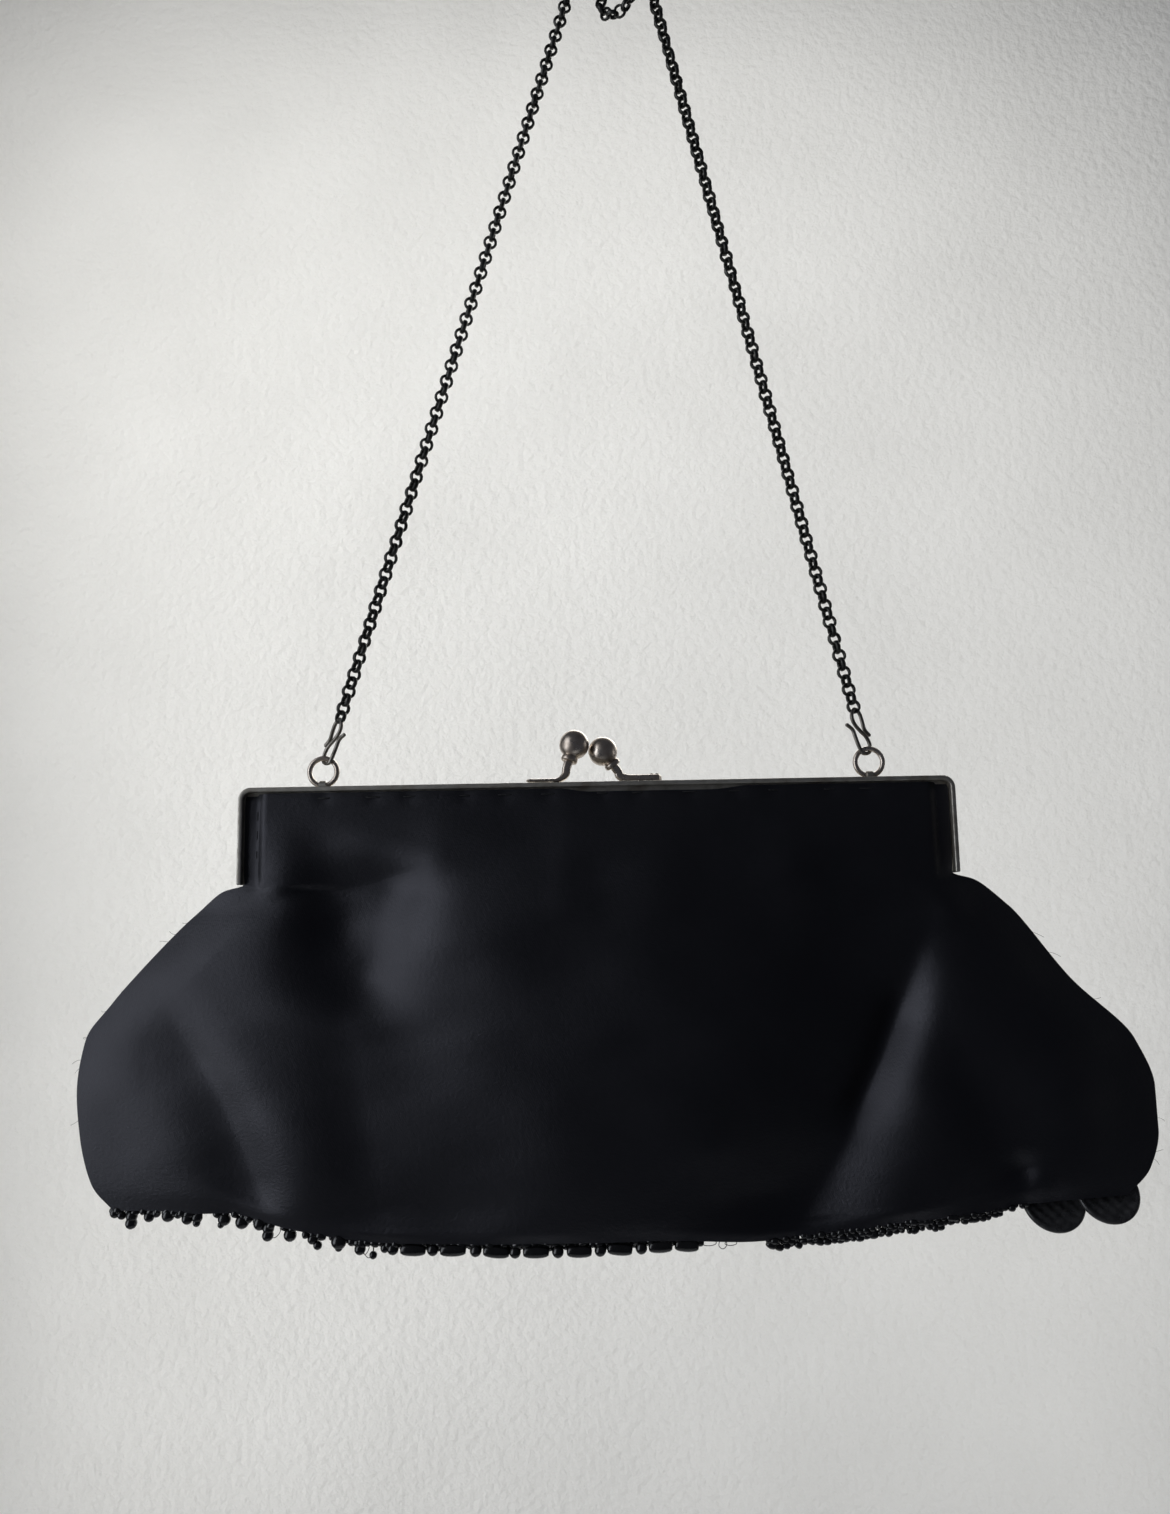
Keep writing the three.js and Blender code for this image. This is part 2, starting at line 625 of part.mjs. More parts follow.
// The string is turned as one profile along its thread, then laid along the hem
const hemStations = [];
const beadCentres = [];
for (const zone of HEM_ZONES) {
  for (let i = 0; i < zone.count; i += 1) {
    const bead = BEADS[zone.kinds[i % zone.kinds.length]];
    const centre = hemPoint(THREE.MathUtils.lerp(zone.fromX, zone.toX, i / (zone.count - 1)));
    centre.z -= bead.radius + zone.drop + zone.sway * Math.sin(i * i);
    beadCentres.push(centre);
    for (let ring = -BEAD_RINGS; ring <= BEAD_RINGS; ring += 1) {
      const angle = (BEAD_END * ring) / BEAD_RINGS;
      const along = centre.x + (bead.length / 2) * Math.sin(angle);
      hemStations.push(new THREE.Vector2(bead.radius * Math.cos(angle) ** bead.roundness, along));
    }
  }
}

function layAlongHem(geometry) {
  const places = geometry.attributes.position;
  for (let i = 0; i < places.count; i += 1) {
    const along = places.getY(i);
    const passed = beadCentres.filter((centre) => centre.x <= along).length;
    const next = THREE.MathUtils.clamp(passed, 1, beadCentres.length - 1);
    const [from, to] = [beadCentres[next - 1], beadCentres[next]];
    const share = THREE.MathUtils.clamp((along - from.x) / (to.x - from.x), 0, 1);
    const thread = from.clone().lerp(to, share);
    places.setXYZ(i, along, thread.y - places.getX(i), thread.z + places.getZ(i));
  }
  return geometry;
}

const hemProfile = [
  new THREE.Vector2(0, hemStations[0].y),
  ...hemStations,
  new THREE.Vector2(0, hemStations[hemStations.length - 1].y),
];
addPiece("hem_beads", layAlongHem(new THREE.LatheGeometry(hemProfile, BEAD_SIDES)), jet);

// Discs lie flat on the front panel, or hang upright over the hem
let discCount = 0;
function addDisc(at, facing) {
  discCount += 1;
  const disc = new THREE.CylinderGeometry(DISC_RADIUS, DISC_RADIUS, DISC_THICKNESS, DISC_SIDES);
  const mesh = addPiece(`paillette_${String(discCount).padStart(2, "0")}`, disc, jet);
  mesh.position.copy(at);
  mesh.quaternion.setFromUnitVectors(new THREE.Vector3(0, 1, 0), facing);
}
for (const row of DISC_ROWS) {
  for (let i = 0; i < row.count; i += 1) {
    const across = row.spread * ((2 * i) / (row.count - 1) - 1);
    const facing = clothNormal(FRONT, across, row.down);
    const at = clothPoint(FRONT, across, row.down).addScaledVector(facing, DISC_THICKNESS / 2 + DISC_LIFT);
    addDisc(at, facing);
  }
}
for (const disc of HEM_DISCS) {
  const lean = THREE.MathUtils.degToRad(disc.lean);
  addDisc(new THREE.Vector3(disc.x, disc.y, disc.z), new THREE.Vector3(0, Math.cos(lean), Math.sin(lean)));
}

export default group;
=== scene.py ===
"""Looks of an embellished evening clutch: satin pouch, purse frame, ball clasp, chain and beadwork.

Sizes inside the bag are millimetres from the middle of the frame's top edge, with the plain back facing -Y,
the beaded front facing +Y and +Z up. BagSpace turns them into metres in the object's own frame.
"""

import logging
import math
from dataclasses import dataclass, field
from enum import Enum
from typing import Any, Iterable, NamedTuple, Sequence

import bpy
import numpy as np
from bpy.types import Material, Mesh, Node, NodeSocket, NodeTree, Object
from mathutils import Matrix, Vector

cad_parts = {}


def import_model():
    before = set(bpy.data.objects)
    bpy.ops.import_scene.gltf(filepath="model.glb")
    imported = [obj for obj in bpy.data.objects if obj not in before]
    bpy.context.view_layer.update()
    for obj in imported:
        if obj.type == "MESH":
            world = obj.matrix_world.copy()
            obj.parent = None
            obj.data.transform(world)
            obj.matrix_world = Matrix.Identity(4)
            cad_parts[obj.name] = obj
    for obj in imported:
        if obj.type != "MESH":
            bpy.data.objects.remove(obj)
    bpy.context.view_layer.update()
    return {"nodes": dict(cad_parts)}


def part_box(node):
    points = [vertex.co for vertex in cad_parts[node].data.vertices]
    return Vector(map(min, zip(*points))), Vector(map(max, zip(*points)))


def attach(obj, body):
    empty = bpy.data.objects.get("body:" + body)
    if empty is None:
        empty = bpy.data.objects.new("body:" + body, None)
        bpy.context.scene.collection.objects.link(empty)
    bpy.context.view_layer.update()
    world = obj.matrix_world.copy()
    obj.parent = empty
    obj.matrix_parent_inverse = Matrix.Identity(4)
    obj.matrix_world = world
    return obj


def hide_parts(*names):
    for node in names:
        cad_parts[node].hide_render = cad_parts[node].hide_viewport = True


log = logging.getLogger("clutch")

MM = 0.001
BODY = "root"
PHOTO_WIDTH = 1170
PHOTO_HEIGHT = 1514
SENSOR = 36.0
WIRE_TIPS = (70.0, 45.0, 20.0)
ALONG_Y = np.array([0.0, 1.0, 0.0])
Array = np.ndarray
Colour = tuple[float, float, float, float]
Three = tuple[float, float, float]
Two = tuple[float, float]


class Side(Enum):
    """The two faces of the bag, by the sign of the way they face along Y."""

    BACK = -1
    FRONT = 1


class End(Enum):
    """The two ends of the bag, by the sign of X."""

    LEFT = -1
    RIGHT = 1


class Slot(Enum):
    """Material slots of the record."""

    SATIN = "satin"
    JET = "jet"
    RIM = "rim_metal"
    FITTING = "dark_metal"
    CHAIN = "chain_metal"


class Socket(Enum):
    """Kinds of sockets on a node group."""

    FLOAT = "NodeSocketFloat"
    INT = "NodeSocketInt"
    VECTOR = "NodeSocketVector"
    COLOR = "NodeSocketColor"
    GEOMETRY = "NodeSocketGeometry"
    MATERIAL = "NodeSocketMaterial"


def smooth_step(value: Array, low: float, high: float) -> Array:
    """Eases from 0 at low to 1 at high."""
    share = np.clip((value - low) / (high - low), 0.0, 1.0)
    return share * share * (3.0 - 2.0 * share)


def unit(vectors: Array) -> Array:
    """Vectors made one long, along the last axis."""
    return vectors / np.maximum(np.linalg.norm(vectors, axis=-1, keepdims=True), 1e-12)


def smooth_path(points: Sequence[Sequence[float]], steps: int) -> Array:
    """A centripetal Catmull-Rom line through given points.

    Args:
        points: The points it passes.
        steps: Points made for each span.

    Returns:
        The line's points.
    """
    given = np.asarray(points, float)
    ends = np.vstack([2 * given[0] - given[1], given, 2 * given[-1] - given[-2]])
    line = []
    for i in range(1, len(ends) - 2):
        p = ends[i - 1 : i + 3]
        gaps = np.maximum(np.linalg.norm(np.diff(p, axis=0), axis=1) ** 0.5, 1e-6)
        t = np.concatenate([[0.0], np.cumsum(gaps)])
        for u in np.linspace(t[1], t[2], steps, endpoint=False):
            a = [p[k] + (p[k + 1] - p[k]) * (u - t[k]) / (t[k + 1] - t[k]) for k in range(3)]
            b = [a[k] + (a[k + 1] - a[k]) * (u - t[k]) / (t[k + 2] - t[k]) for k in range(2)]
            line.append(b[0] + (b[1] - b[0]) * (u - t[1]) / (t[2] - t[1]))
    line.append(given[-1])
    return np.array(line)


def turn_to(directions: Sequence[Any]) -> Array:
    """Euler turns in radians that bring Z onto each direction, one row each."""
    return np.array([Vector(way).to_track_quat("Z", "Y").to_euler()[:] for way in directions])


@dataclass(frozen=True)
class BagSpace:
    """Places in the bag, in millimetres from the middle of the frame's top edge."""

    origin: Vector

    @classmethod
    def from_frame(cls) -> "BagSpace":
        """The bag's place, read from the front frame half."""
        low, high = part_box("frame_front")
        return cls(Vector(((low.x + high.x) / 2, 0.0, high.z)))

    def array(self, points: Array) -> Array:
        """Millimetres in the bag as metres in the object's frame."""
        return np.asarray(points, float) * MM + np.array(self.origin)

    def at(self, x: float, y: float, z: float) -> Vector:
        """One place in the bag as a point in the object's frame."""
        return Vector((x, y, z)) * MM + self.origin


@dataclass
class MeshParts:
    """Gathers the closed shells of one piece, in millimetres, and makes them a mesh."""

    points: list[Array] = field(default_factory=list)
    faces: list[tuple[int, ...]] = field(default_factory=list)
    count: int = 0

    def add(self, points: Array, faces: Sequence[Sequence[int]]) -> None:
        """Adds one closed shell, turned so that its faces point outwards.

        Args:
            points: The shell's points.
            faces: Its faces, as indices of those points.
        """
        volume = 0.0
        centre = points.mean(axis=0)
        for face in faces:
            corners = points[list(face)] - centre
            for k in range(1, len(face) - 1):
                volume += float(np.dot(corners[0], np.cross(corners[k], corners[k + 1])))
        ordered = faces if volume > 0 else [tuple(reversed(face)) for face in faces]
        self.faces.extend(tuple(int(i) + self.count for i in face) for face in ordered)
        self.points.append(points)
        self.count += len(points)

    def rings(self, rings: Array, closed: bool = False) -> None:
        """Adds a skin over rings of points, with a pole on each open end.

        Args:
            rings: The rings, as an array of ring, point and coordinate.
            closed: Whether the last ring joins the first.
        """
        total, around, _ = rings.shape
        points = rings.reshape(-1, 3)
        faces: list[tuple[int, ...]] = []
        for i in range(total if closed else total - 1):
            here, there = i * around, ((i + 1) % total) * around
            for j in range(around):
                k = (j + 1) % around
                faces.append((here + j, here + k, there + k, there + j))
        if not closed:
            poles = np.array([rings[0].mean(axis=0), rings[-1].mean(axis=0)])
            first, last = len(points), len(points) + 1
            points = np.vstack([points, poles])
            base = (total - 1) * around
            for j in range(around):
                k = (j + 1) % around
                faces.append((first, k, j))
                faces.append((last, base + j, base + k))
        self.add(points, faces)

    def sweep(self, path: Array, section: Array, scale: Array, side: Array, closed: bool = False) -> None:
        """Adds a section carried along a path.

        Args:
            path: The path's points.
            section: The section's outline, across and along the side direction.
            scale: The section's two scales at each point of the path.
            side: A direction the section's second axis keeps to.
            closed: Whether the path is a loop.
        """
        if closed:
            tangents = np.roll(path, -1, axis=0) - np.roll(path, 1, axis=0)
        else:
            tangents = np.gradient(path, axis=0)
        tangents = unit(tangents)
        across = unit(np.cross(side, tangents))
        up = np.cross(tangents, across)
        sized = section[None, :, :] * scale[:, None, :]
        rings = path[:, None, :] + sized[..., :1] * across[:, None, :] + sized[..., 1:] * up[:, None, :]
        self.rings(rings, closed)

    def wire(self, path: Array, radius: float, sides: int, side: Array, closed: bool = False) -> None:
        """Adds a round wire with rounded ends.

        Args:
            path: The wire's middle line.
            radius: The wire's radius.
            sides: Faces round the wire.
            side: A direction the wire never runs along.
            closed: Whether the wire is a loop.
        """
        radii = np.full(len(path), radius)
        if not closed:
            tips = np.radians(WIRE_TIPS)
            first = unit(path[0] - path[1])
            last = unit(path[-1] - path[-2])
            start = path[0] + first * (radius * np.sin(tips))[:, None]
            end = path[-1] + last * (radius * np.sin(tips[::-1]))[:, None]
            path = np.vstack([start, path, end])
            radii = np.concatenate([radius * np.cos(tips), radii, radius * np.cos(tips[::-1])])
        self.sweep(path, circle(sides), np.stack([radii, radii], axis=1), side, closed)

    def turned(self, profile: Array, sides: int, place: Matrix) -> None:
        """Adds a turned shape.

        Args:
            profile: Radius and height of each ring, from one end to the other.
            sides: Faces round it.
            place: Where its foot stands and which way its axis points, in millimetres.
        """
        ring = circle(sides)
        rings = np.empty((len(profile), sides, 3))
        rings[..., :2] = ring[None] * profile[:, None, :1]
        rings[..., 2] = profile[:, None, 1]
        matrix = np.array(place)
        self.rings(rings @ matrix[:3, :3].T + matrix[:3, 3])

    def to_object(self, name: str, space: BagSpace, sharp: float = 40.0) -> Object:
        """The gathered shells as one object with smooth faces.

        Args:
            name: The piece's name.
            space: Where the bag is.
            sharp: The angle in degrees from which an edge stays sharp.

        Returns:
            The new object.
        """
        mesh = bpy.data.meshes.new(name)
        mesh.from_pydata(space.array(np.vstack(self.points)).tolist(), [], self.faces)
        mesh.shade_smooth()
        mesh.set_sharp_from_angle(angle=math.radians(sharp))
        return linked(name, mesh)


def circle(sides: int) -> Array:
    """A unit circle's points."""
    angles = np.linspace(0, 2 * math.pi, sides, endpoint=False)
    return np.stack([np.cos(angles), np.sin(angles)], axis=1)


def rounded_bar(half_across: float, half_along: float, corner: float, steps: int = 3) -> Array:
    """A rectangle's outline with round corners.

    Args:
        half_across: Half its first side.
        half_along: Half its second side.
        corner: Radius of its corners.
        steps: Spans in each corner.

    Returns:
        The outline's points.
    """
    outline = []
    for start, sx, sy in ((0, 1, 1), (90, -1, 1), (180, -1, -1), (270, 1, -1)):
        for angle in np.radians(np.linspace(start, start + 90, steps + 1)):
            x = sx * (half_across - corner) + corner * math.cos(angle)
            y = sy * (half_along - corner) + corner * math.sin(angle)
            outline.append((x, y))
    return np.array(outline)


def linked(name: str, mesh: Mesh) -> Object:
    """A mesh as an object in the scene.

    Args:
        name: The object's name.
        mesh: Its mesh.

    Returns:
        The object.
    """
    piece = bpy.data.objects.new(name, mesh)
    bpy.context.scene.collection.objects.link(piece)
    return piece


def fit(piece: Object, replaced: Sequence[str] = ()) -> Object:
    """Joins a finished piece to the frame.

    Args:
        piece: The piece.
        replaced: CAD nodes it stands for.

    Returns:
        The same piece.
    """
    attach(piece, BODY)
    if replaced:
        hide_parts(*replaced)
    log.info("%s: %d faces", piece.name, len(piece.data.polygons))
    return piece


def dress(piece: Object, material: Material) -> Object:
    """Gives a piece its one material.

    Args:
        piece: The piece.
        material: Its finish.

    Returns:
        The same piece.
    """
    piece.data.materials.clear()
    piece.data.materials.append(material)
    return piece


@dataclass
class Wiring:
    """Adds and joins nodes in one tree."""

    tree: NodeTree

    def node(self, kind: str, inputs: dict[Any, Any] | None = None, **settings: Any) -> Node:
        """A new node.

        Args:
            kind: The node's type.
            inputs: Values or sockets for its inputs, by name or place.
            **settings: Values for its own options.

        Returns:
            The node.
        """
        made = self.tree.nodes.new(kind)
        for name, value in settings.items():
            setattr(made, name, value)
        for key, value in (inputs or {}).items():
            self.feed(made.inputs[key], value)
        return made

    def feed(self, socket: NodeSocket, value: Any) -> None:
        """Joins a socket to another, or sets its value.

        Args:
            socket: The socket that is fed.
            value: A node, for its first output, a socket or a plain value.
        """
        if isinstance(value, Node):
            value = value.outputs[0]
        if isinstance(value, NodeSocket):
            self.tree.links.new(value, socket)
        else:
            socket.default_value = value

    def math(self, operation: str, *values: Any) -> NodeSocket:
        """The result of one sum.

        Args:
            operation: The sum's name.
            *values: Sockets or numbers.

        Returns:
            The result's socket.
        """
        made = self.node("ShaderNodeMath", operation=operation)
        for socket, value in zip(made.inputs, values):
            self.feed(socket, value)
        return made.outputs[0]

    def times(self, first: Any, second: Any) -> NodeSocket:
        """The product of two sockets or numbers."""
        return self.math("MULTIPLY", first, second)

    def bump(self, height: NodeSocket, strength: float, depth: float,
             under: NodeSocket | None = None) -> NodeSocket:
        """A normal raised by a height.

        Args:
            height: The height, from 0 to 1.
            strength: How strong the bump is.
            depth: The height's real depth, in metres.
            under: A normal that it comes on top of.

        Returns:
            The new normal.
        """
        made = self.node("ShaderNodeBump", {"Strength": strength, "Distance": depth, "Height": height})
        if under is not None:
            self.feed(made.inputs["Normal"], under)
        return made.outputs[0]

    def mix(self, share: Any, first: Any, second: Any) -> NodeSocket:
        """Two colours mixed by a share.

        Args:
            share: How much of the second there is.
            first: The first colour.
            second: The second colour.

        Returns:
            The mixed colour.
        """
        made = self.node("ShaderNodeMix", data_type="RGBA")
        for place, value in ((0, share), (6, first), (7, second)):
            self.feed(made.inputs[place], value)
        return made.outputs[2]


class SocketRow(NamedTuple):
    """One named socket of a node group."""

    name: str
    kind: Socket
    default: Any = None


def group_tree(name: str, kind: str, inputs: Iterable[SocketRow], outputs: Iterable[SocketRow]
               ) -> tuple[Wiring, Any, Any]:
    """A new node group with named sockets.

    Args:
        name: The group's name.
        kind: Its type of tree.
        inputs: Its inputs.
        outputs: Its outputs.

    Returns:
        The tree's wiring, the sockets it is given and the sockets it fills.
    """
    tree = bpy.data.node_groups.new(name, kind)
    for row in inputs:
        socket = tree.interface.new_socket(row.name, in_out="INPUT", socket_type=row.kind.value)
        if row.default is not None:
            socket.default_value = row.default
    for row in outputs:
        tree.interface.new_socket(row.name, in_out="OUTPUT", socket_type=row.kind.value)
    wiring = Wiring(tree)
    return wiring, wiring.node("NodeGroupInput").outputs, wiring.node("NodeGroupOutput").inputs


class SurfaceEffects:
    """Effects that several finishes share, each built once as a shader group."""

    def __init__(self) -> None:
        """Builds the groups."""
        self.grain = self._grain()
        self.weave = self._weave()
        self.tarnish = self._tarnish()

    @staticmethod
    def _object_noise(wiring: Wiring, stretch: Any, scale: Any, detail: float) -> NodeSocket:
        """Noise on the piece's own coordinates.

        Args:
            wiring: The tree.
            stretch: Scale along each axis.
            scale: Features in a metre.
            detail: Finer layers.

        Returns:
            The noise's value.
        """
        place = wiring.node("ShaderNodeTexCoord").outputs["Object"]
        stretched = wiring.node("ShaderNodeVectorMath", {0: place, 1: stretch}, operation="MULTIPLY")
        noise = wiring.node("ShaderNodeTexNoise", {"Vector": stretched, "Scale": scale, "Detail": detail})
        return noise.outputs["Fac"]

    def _grain(self) -> NodeTree:
        """Slow or fine unevenness, between two values.

        Returns:
            The group.
        """
        wiring, given, result = group_tree(
            "uneven_grain", "ShaderNodeTree",
            [SocketRow("Scale", Socket.FLOAT, 100.0), SocketRow("Stretch", Socket.VECTOR, (1, 1, 1)),
             SocketRow("Low", Socket.FLOAT, 0.0), SocketRow("High", Socket.FLOAT, 1.0)],
            [SocketRow("Value", Socket.FLOAT)])
        noise = self._object_noise(wiring, given["Stretch"], given["Scale"], 4.0)
        spread = wiring.node("ShaderNodeMapRange", {0: noise, 1: 0.3, 2: 0.7, 3: given["Low"],
                                                    4: given["High"]})
        wiring.feed(result["Value"], spread)
        return wiring.tree

    def _weave(self) -> NodeTree:
        """Warp threads with staggered floats, as a height.

        Returns:
            The group.
        """
        wiring, given, result = group_tree(
            "satin_weave", "ShaderNodeTree",
            [SocketRow("Threads", Socket.FLOAT, 4000.0), SocketRow("Float", Socket.FLOAT, 5.0)],
            [SocketRow("Height", Socket.FLOAT)])
        place = wiring.node("ShaderNodeSeparateXYZ", {0: wiring.node("ShaderNodeTexCoord").outputs["Object"]})
        warp = wiring.times(place.outputs["X"], given["Threads"])
        weft = wiring.math("DIVIDE", wiring.times(place.outputs["Z"], given["Threads"]), given["Float"])
        row = wiring.math("FLOOR", warp)
        shifted = wiring.math("ADD", weft, wiring.times(row, 0.4))
        thread = wiring.math("SINE", wiring.times(wiring.math("FRACT", warp), math.pi))
        bound = wiring.math("SINE", wiring.times(wiring.math("FRACT", shifted), math.pi))
        height = wiring.times(thread, wiring.math("POWER", bound, 0.5))
        wiring.feed(result["Height"], height)
        return wiring.tree

    def _tarnish(self) -> NodeTree:
        """Patches where a metal has dulled, as a colour and a mask.

        Returns:
            The group.
        """
        wiring, given, result = group_tree(
            "tarnish", "ShaderNodeTree",
            [SocketRow("Scale", Socket.FLOAT, 200.0), SocketRow("Amount", Socket.FLOAT, 0.5),
             SocketRow("Clean", Socket.COLOR, (0.5, 0.5, 0.5, 1)),
             SocketRow("Dull", Socket.COLOR, (0.2, 0.2, 0.2, 1))],
            [SocketRow("Color", Socket.COLOR), SocketRow("Mask", Socket.FLOAT)])
        broad = self._object_noise(wiring, (1, 1, 1), given["Scale"], 5.0)
        patches = wiring.node("ShaderNodeMapRange", {0: broad, 1: 0.42, 2: 0.66, 3: 0.0, 4: 1.0})
        mask = wiring.times(patches, given["Amount"])
        wiring.feed(result["Mask"], mask)
        wiring.feed(result["Color"], wiring.mix(mask, given["Clean"], given["Dull"]))
        return wiring.tree


def placed_group(wiring: Wiring, tree: NodeTree, values: dict[str, Any]) -> Node:
    """A shared effect in a material, with its inputs by name."""
    return wiring.node("ShaderNodeGroup", node_tree=tree, inputs=values)


def grained(wiring: Wiring, effects: SurfaceEffects, scale: float, limits: Two = (0.0, 1.0),
            stretch: Three = (1.0, 1.0, 1.0)) -> NodeSocket:
    """Uneven grain in a material: features in a metre, lowest and highest value, scale along each axis."""
    values = {"Scale": scale, "Low": limits[0], "High": limits[1], "Stretch": stretch}
    return placed_group(wiring, effects.grain, values).outputs[0]


class Finish:
    """A finish that becomes one material."""

    name: str

    def inputs(self, wiring: Wiring, effects: SurfaceEffects) -> dict[str, Any]:
        """Values and sockets for the shader, by the names of its inputs."""
        raise NotImplementedError

    def material(self, effects: SurfaceEffects) -> Material:
        """The finish as a material.

        Args:
            effects: The shared effects.

        Returns:
            The material.
        """
        material = bpy.data.materials.new(self.name)
        material.use_nodes = True
        wiring = Wiring(material.node_tree)
        shader = material.node_tree.nodes["Principled BSDF"]
        for name, value in self.inputs(wiring, effects).items():
            wiring.feed(shader.inputs[name], value)
        return material


@dataclass(frozen=True)
class SatinFinish(Finish):
    """Black satin: nearly black, with a broad cool sheen and fine warp floats."""

    name: str = "black_satin"
    deep: Colour = (0.0035, 0.0036, 0.0046, 1)
    faded: Colour = (0.0065, 0.0066, 0.0082, 1)
    faded_scale: float = 38.0
    rough: Two = (0.37, 0.45)
    rough_scale: float = 55.0
    specular: float = 0.5
    specular_tint: Colour = (0.88, 0.88, 1.0, 1)
    sheen: float = 0.03
    sheen_roughness: float = 0.35
    sheen_tint: Colour = (0.72, 0.78, 1.0, 1)
    threads: float = 4200.0
    weave_strength: float = 0.5
    weave_depth: float = 0.00004
    crush_scale: float = 1500.0
    crush_stretch: Three = (0.6, 1.0, 1.0)
    crush_strength: float = 0.6
    crush_depth: float = 0.00006

    def inputs(self, wiring: Wiring, effects: SurfaceEffects) -> dict[str, Any]:
        """Nearly black threads with a soft sheen.

        Args:
            wiring: The material's tree.
            effects: The shared effects.

        Returns:
            Values and sockets for the shader.
        """
        faded = grained(wiring, effects, self.faded_scale)
        weave = placed_group(wiring, effects.weave, {"Threads": self.threads}).outputs[0]
        fine = wiring.bump(weave, self.weave_strength, self.weave_depth)
        crushed = grained(wiring, effects, self.crush_scale, stretch=self.crush_stretch)
        return {
            "Base Color": wiring.mix(faded, self.deep, self.faded),
            "Roughness": grained(wiring, effects, self.rough_scale, self.rough),
            "Normal": wiring.bump(crushed, self.crush_strength, self.crush_depth, fine),
            "Specular IOR Level": self.specular,
            "Specular Tint": self.specular_tint,
            "Sheen Weight": self.sheen,
            "Sheen Roughness": self.sheen_roughness,
            "Sheen Tint": self.sheen_tint,
        }


@dataclass(frozen=True)
class MetalFinish(Finish):
    """A plated metal with dulled patches and fine drawn lines."""

    name: str
    clean: Colour
    dull: Colour
    rough: Two
    patches: float = 260.0
    amount: float = 0.7
    drawn: Three = (1.0, 1.0, 1.0)
    rough_scale: float = 900.0
    dull_rough: float = 0.18
    drawn_scale: float = 1800.0
    drawn_strength: float = 0.35
    drawn_depth: float = 0.00002

    def inputs(self, wiring: Wiring, effects: SurfaceEffects) -> dict[str, Any]:
        """Plating that is duller and rougher in patches.

        Args:
            wiring: The material's tree.
            effects: The shared effects.

        Returns:
            Values and sockets for the shader.
        """
        values = {"Scale": self.patches, "Amount": self.amount, "Clean": self.clean, "Dull": self.dull}
        tarnish = placed_group(wiring, effects.tarnish, values)
        rough = grained(wiring, effects, self.rough_scale, self.rough)
        lines = grained(wiring, effects, self.drawn_scale, stretch=self.drawn)
        return {
            "Base Color": tarnish.outputs["Color"],
            "Roughness": wiring.math("MULTIPLY_ADD", tarnish.outputs["Mask"], self.dull_rough, rough),
            "Normal": wiring.bump(lines, self.drawn_strength, self.drawn_depth),
            "Metallic": 1.0,
        }


@dataclass(frozen=True)
class GrainedFinish(Finish):
    """Bead glass, thread or plaster, with a grain in its colour, its gloss and its skin."""

    name: str
    deep: Colour
    pale: Colour
    rough: Two
    coat: float = 0.0
    coat_rough: float = 0.03
    colour_scale: float = 700.0
    rough_scale: float = 500.0
    skin_scale: float = 1500.0
    skin_strength: float = 0.3
    skin_depth: float = 0.00002
    stretch: Three = (1.0, 1.0, 1.0)

    def inputs(self, wiring: Wiring, effects: SurfaceEffects) -> dict[str, Any]:
        """Mixed colours, an uneven skin and a clear coat if there is one.

        Args:
            wiring: The material's tree.
            effects: The shared effects.

        Returns:
            Values and sockets for the shader.
        """
        colour = grained(wiring, effects, self.colour_scale, stretch=self.stretch)
        skin = grained(wiring, effects, self.skin_scale, stretch=self.stretch)
        return {
            "Base Color": wiring.mix(colour, self.deep, self.pale),
            "Roughness": grained(wiring, effects, self.rough_scale, self.rough),
            "Normal": wiring.bump(skin, self.skin_strength, self.skin_depth),
            "Coat Weight": self.coat,
            "Coat Roughness": self.coat_rough,
        }


@dataclass(frozen=True)
class ThreadFinish(GrainedFinish):
    """Black sewing thread, matte, with twisted plies."""

    name: str = "black_thread"
    deep: Colour = (0.006, 0.006, 0.007, 1)
    pale: Colour = (0.020, 0.020, 0.023, 1)
    rough: Two = (0.55, 0.8)
    colour_scale: float = 2600.0
    rough_scale: float = 1200.0
    skin_scale: float = 2600.0
    skin_strength: float = 0.6
    skin_depth: float = 0.00008
    stretch: Three = (1.0, 1.0, 0.4)


@dataclass(frozen=True)
class PlasterFinish(GrainedFinish):
    """The pale ground behind and below, with faint patches."""

    name: str = "pale_plaster"
    deep: Colour = (0.80, 0.795, 0.78, 1)
    pale: Colour = (0.86, 0.855, 0.84, 1)
    rough: Two = (0.85, 0.85)
    colour_scale: float = 6.0
    skin_scale: float = 110.0
    skin_strength: float = 0.45
    skin_depth: float = 0.003


METALS = (
    MetalFinish("worn_nickel", (0.54, 0.52, 0.47, 1), (0.25, 0.22, 0.18, 1), (0.38, 0.50), 180.0, 0.8,
                (0.06, 1.0, 1.0)),
    MetalFinish("dark_nickel", (0.64, 0.57, 0.50, 1), (0.40, 0.33, 0.27, 1), (0.22, 0.32), 320.0, 0.7),
    MetalFinish("aged_steel", (0.30, 0.28, 0.25, 1), (0.13, 0.12, 0.10, 1), (0.26, 0.38), 320.0, 0.7),
    MetalFinish("gunmetal", (0.085, 0.085, 0.08, 1), (0.03, 0.03, 0.028, 1), (0.26, 0.42), 420.0, 0.9),
)

GLASSES = (
    GrainedFinish("jet_glass", (0.003, 0.003, 0.003, 1), (0.008, 0.008, 0.009, 1), (0.14, 0.24), 0.25),
    GrainedFinish("etched_jet", (0.016, 0.016, 0.017, 1), (0.045, 0.045, 0.046, 1), (0.24, 0.38), 0.15),
)


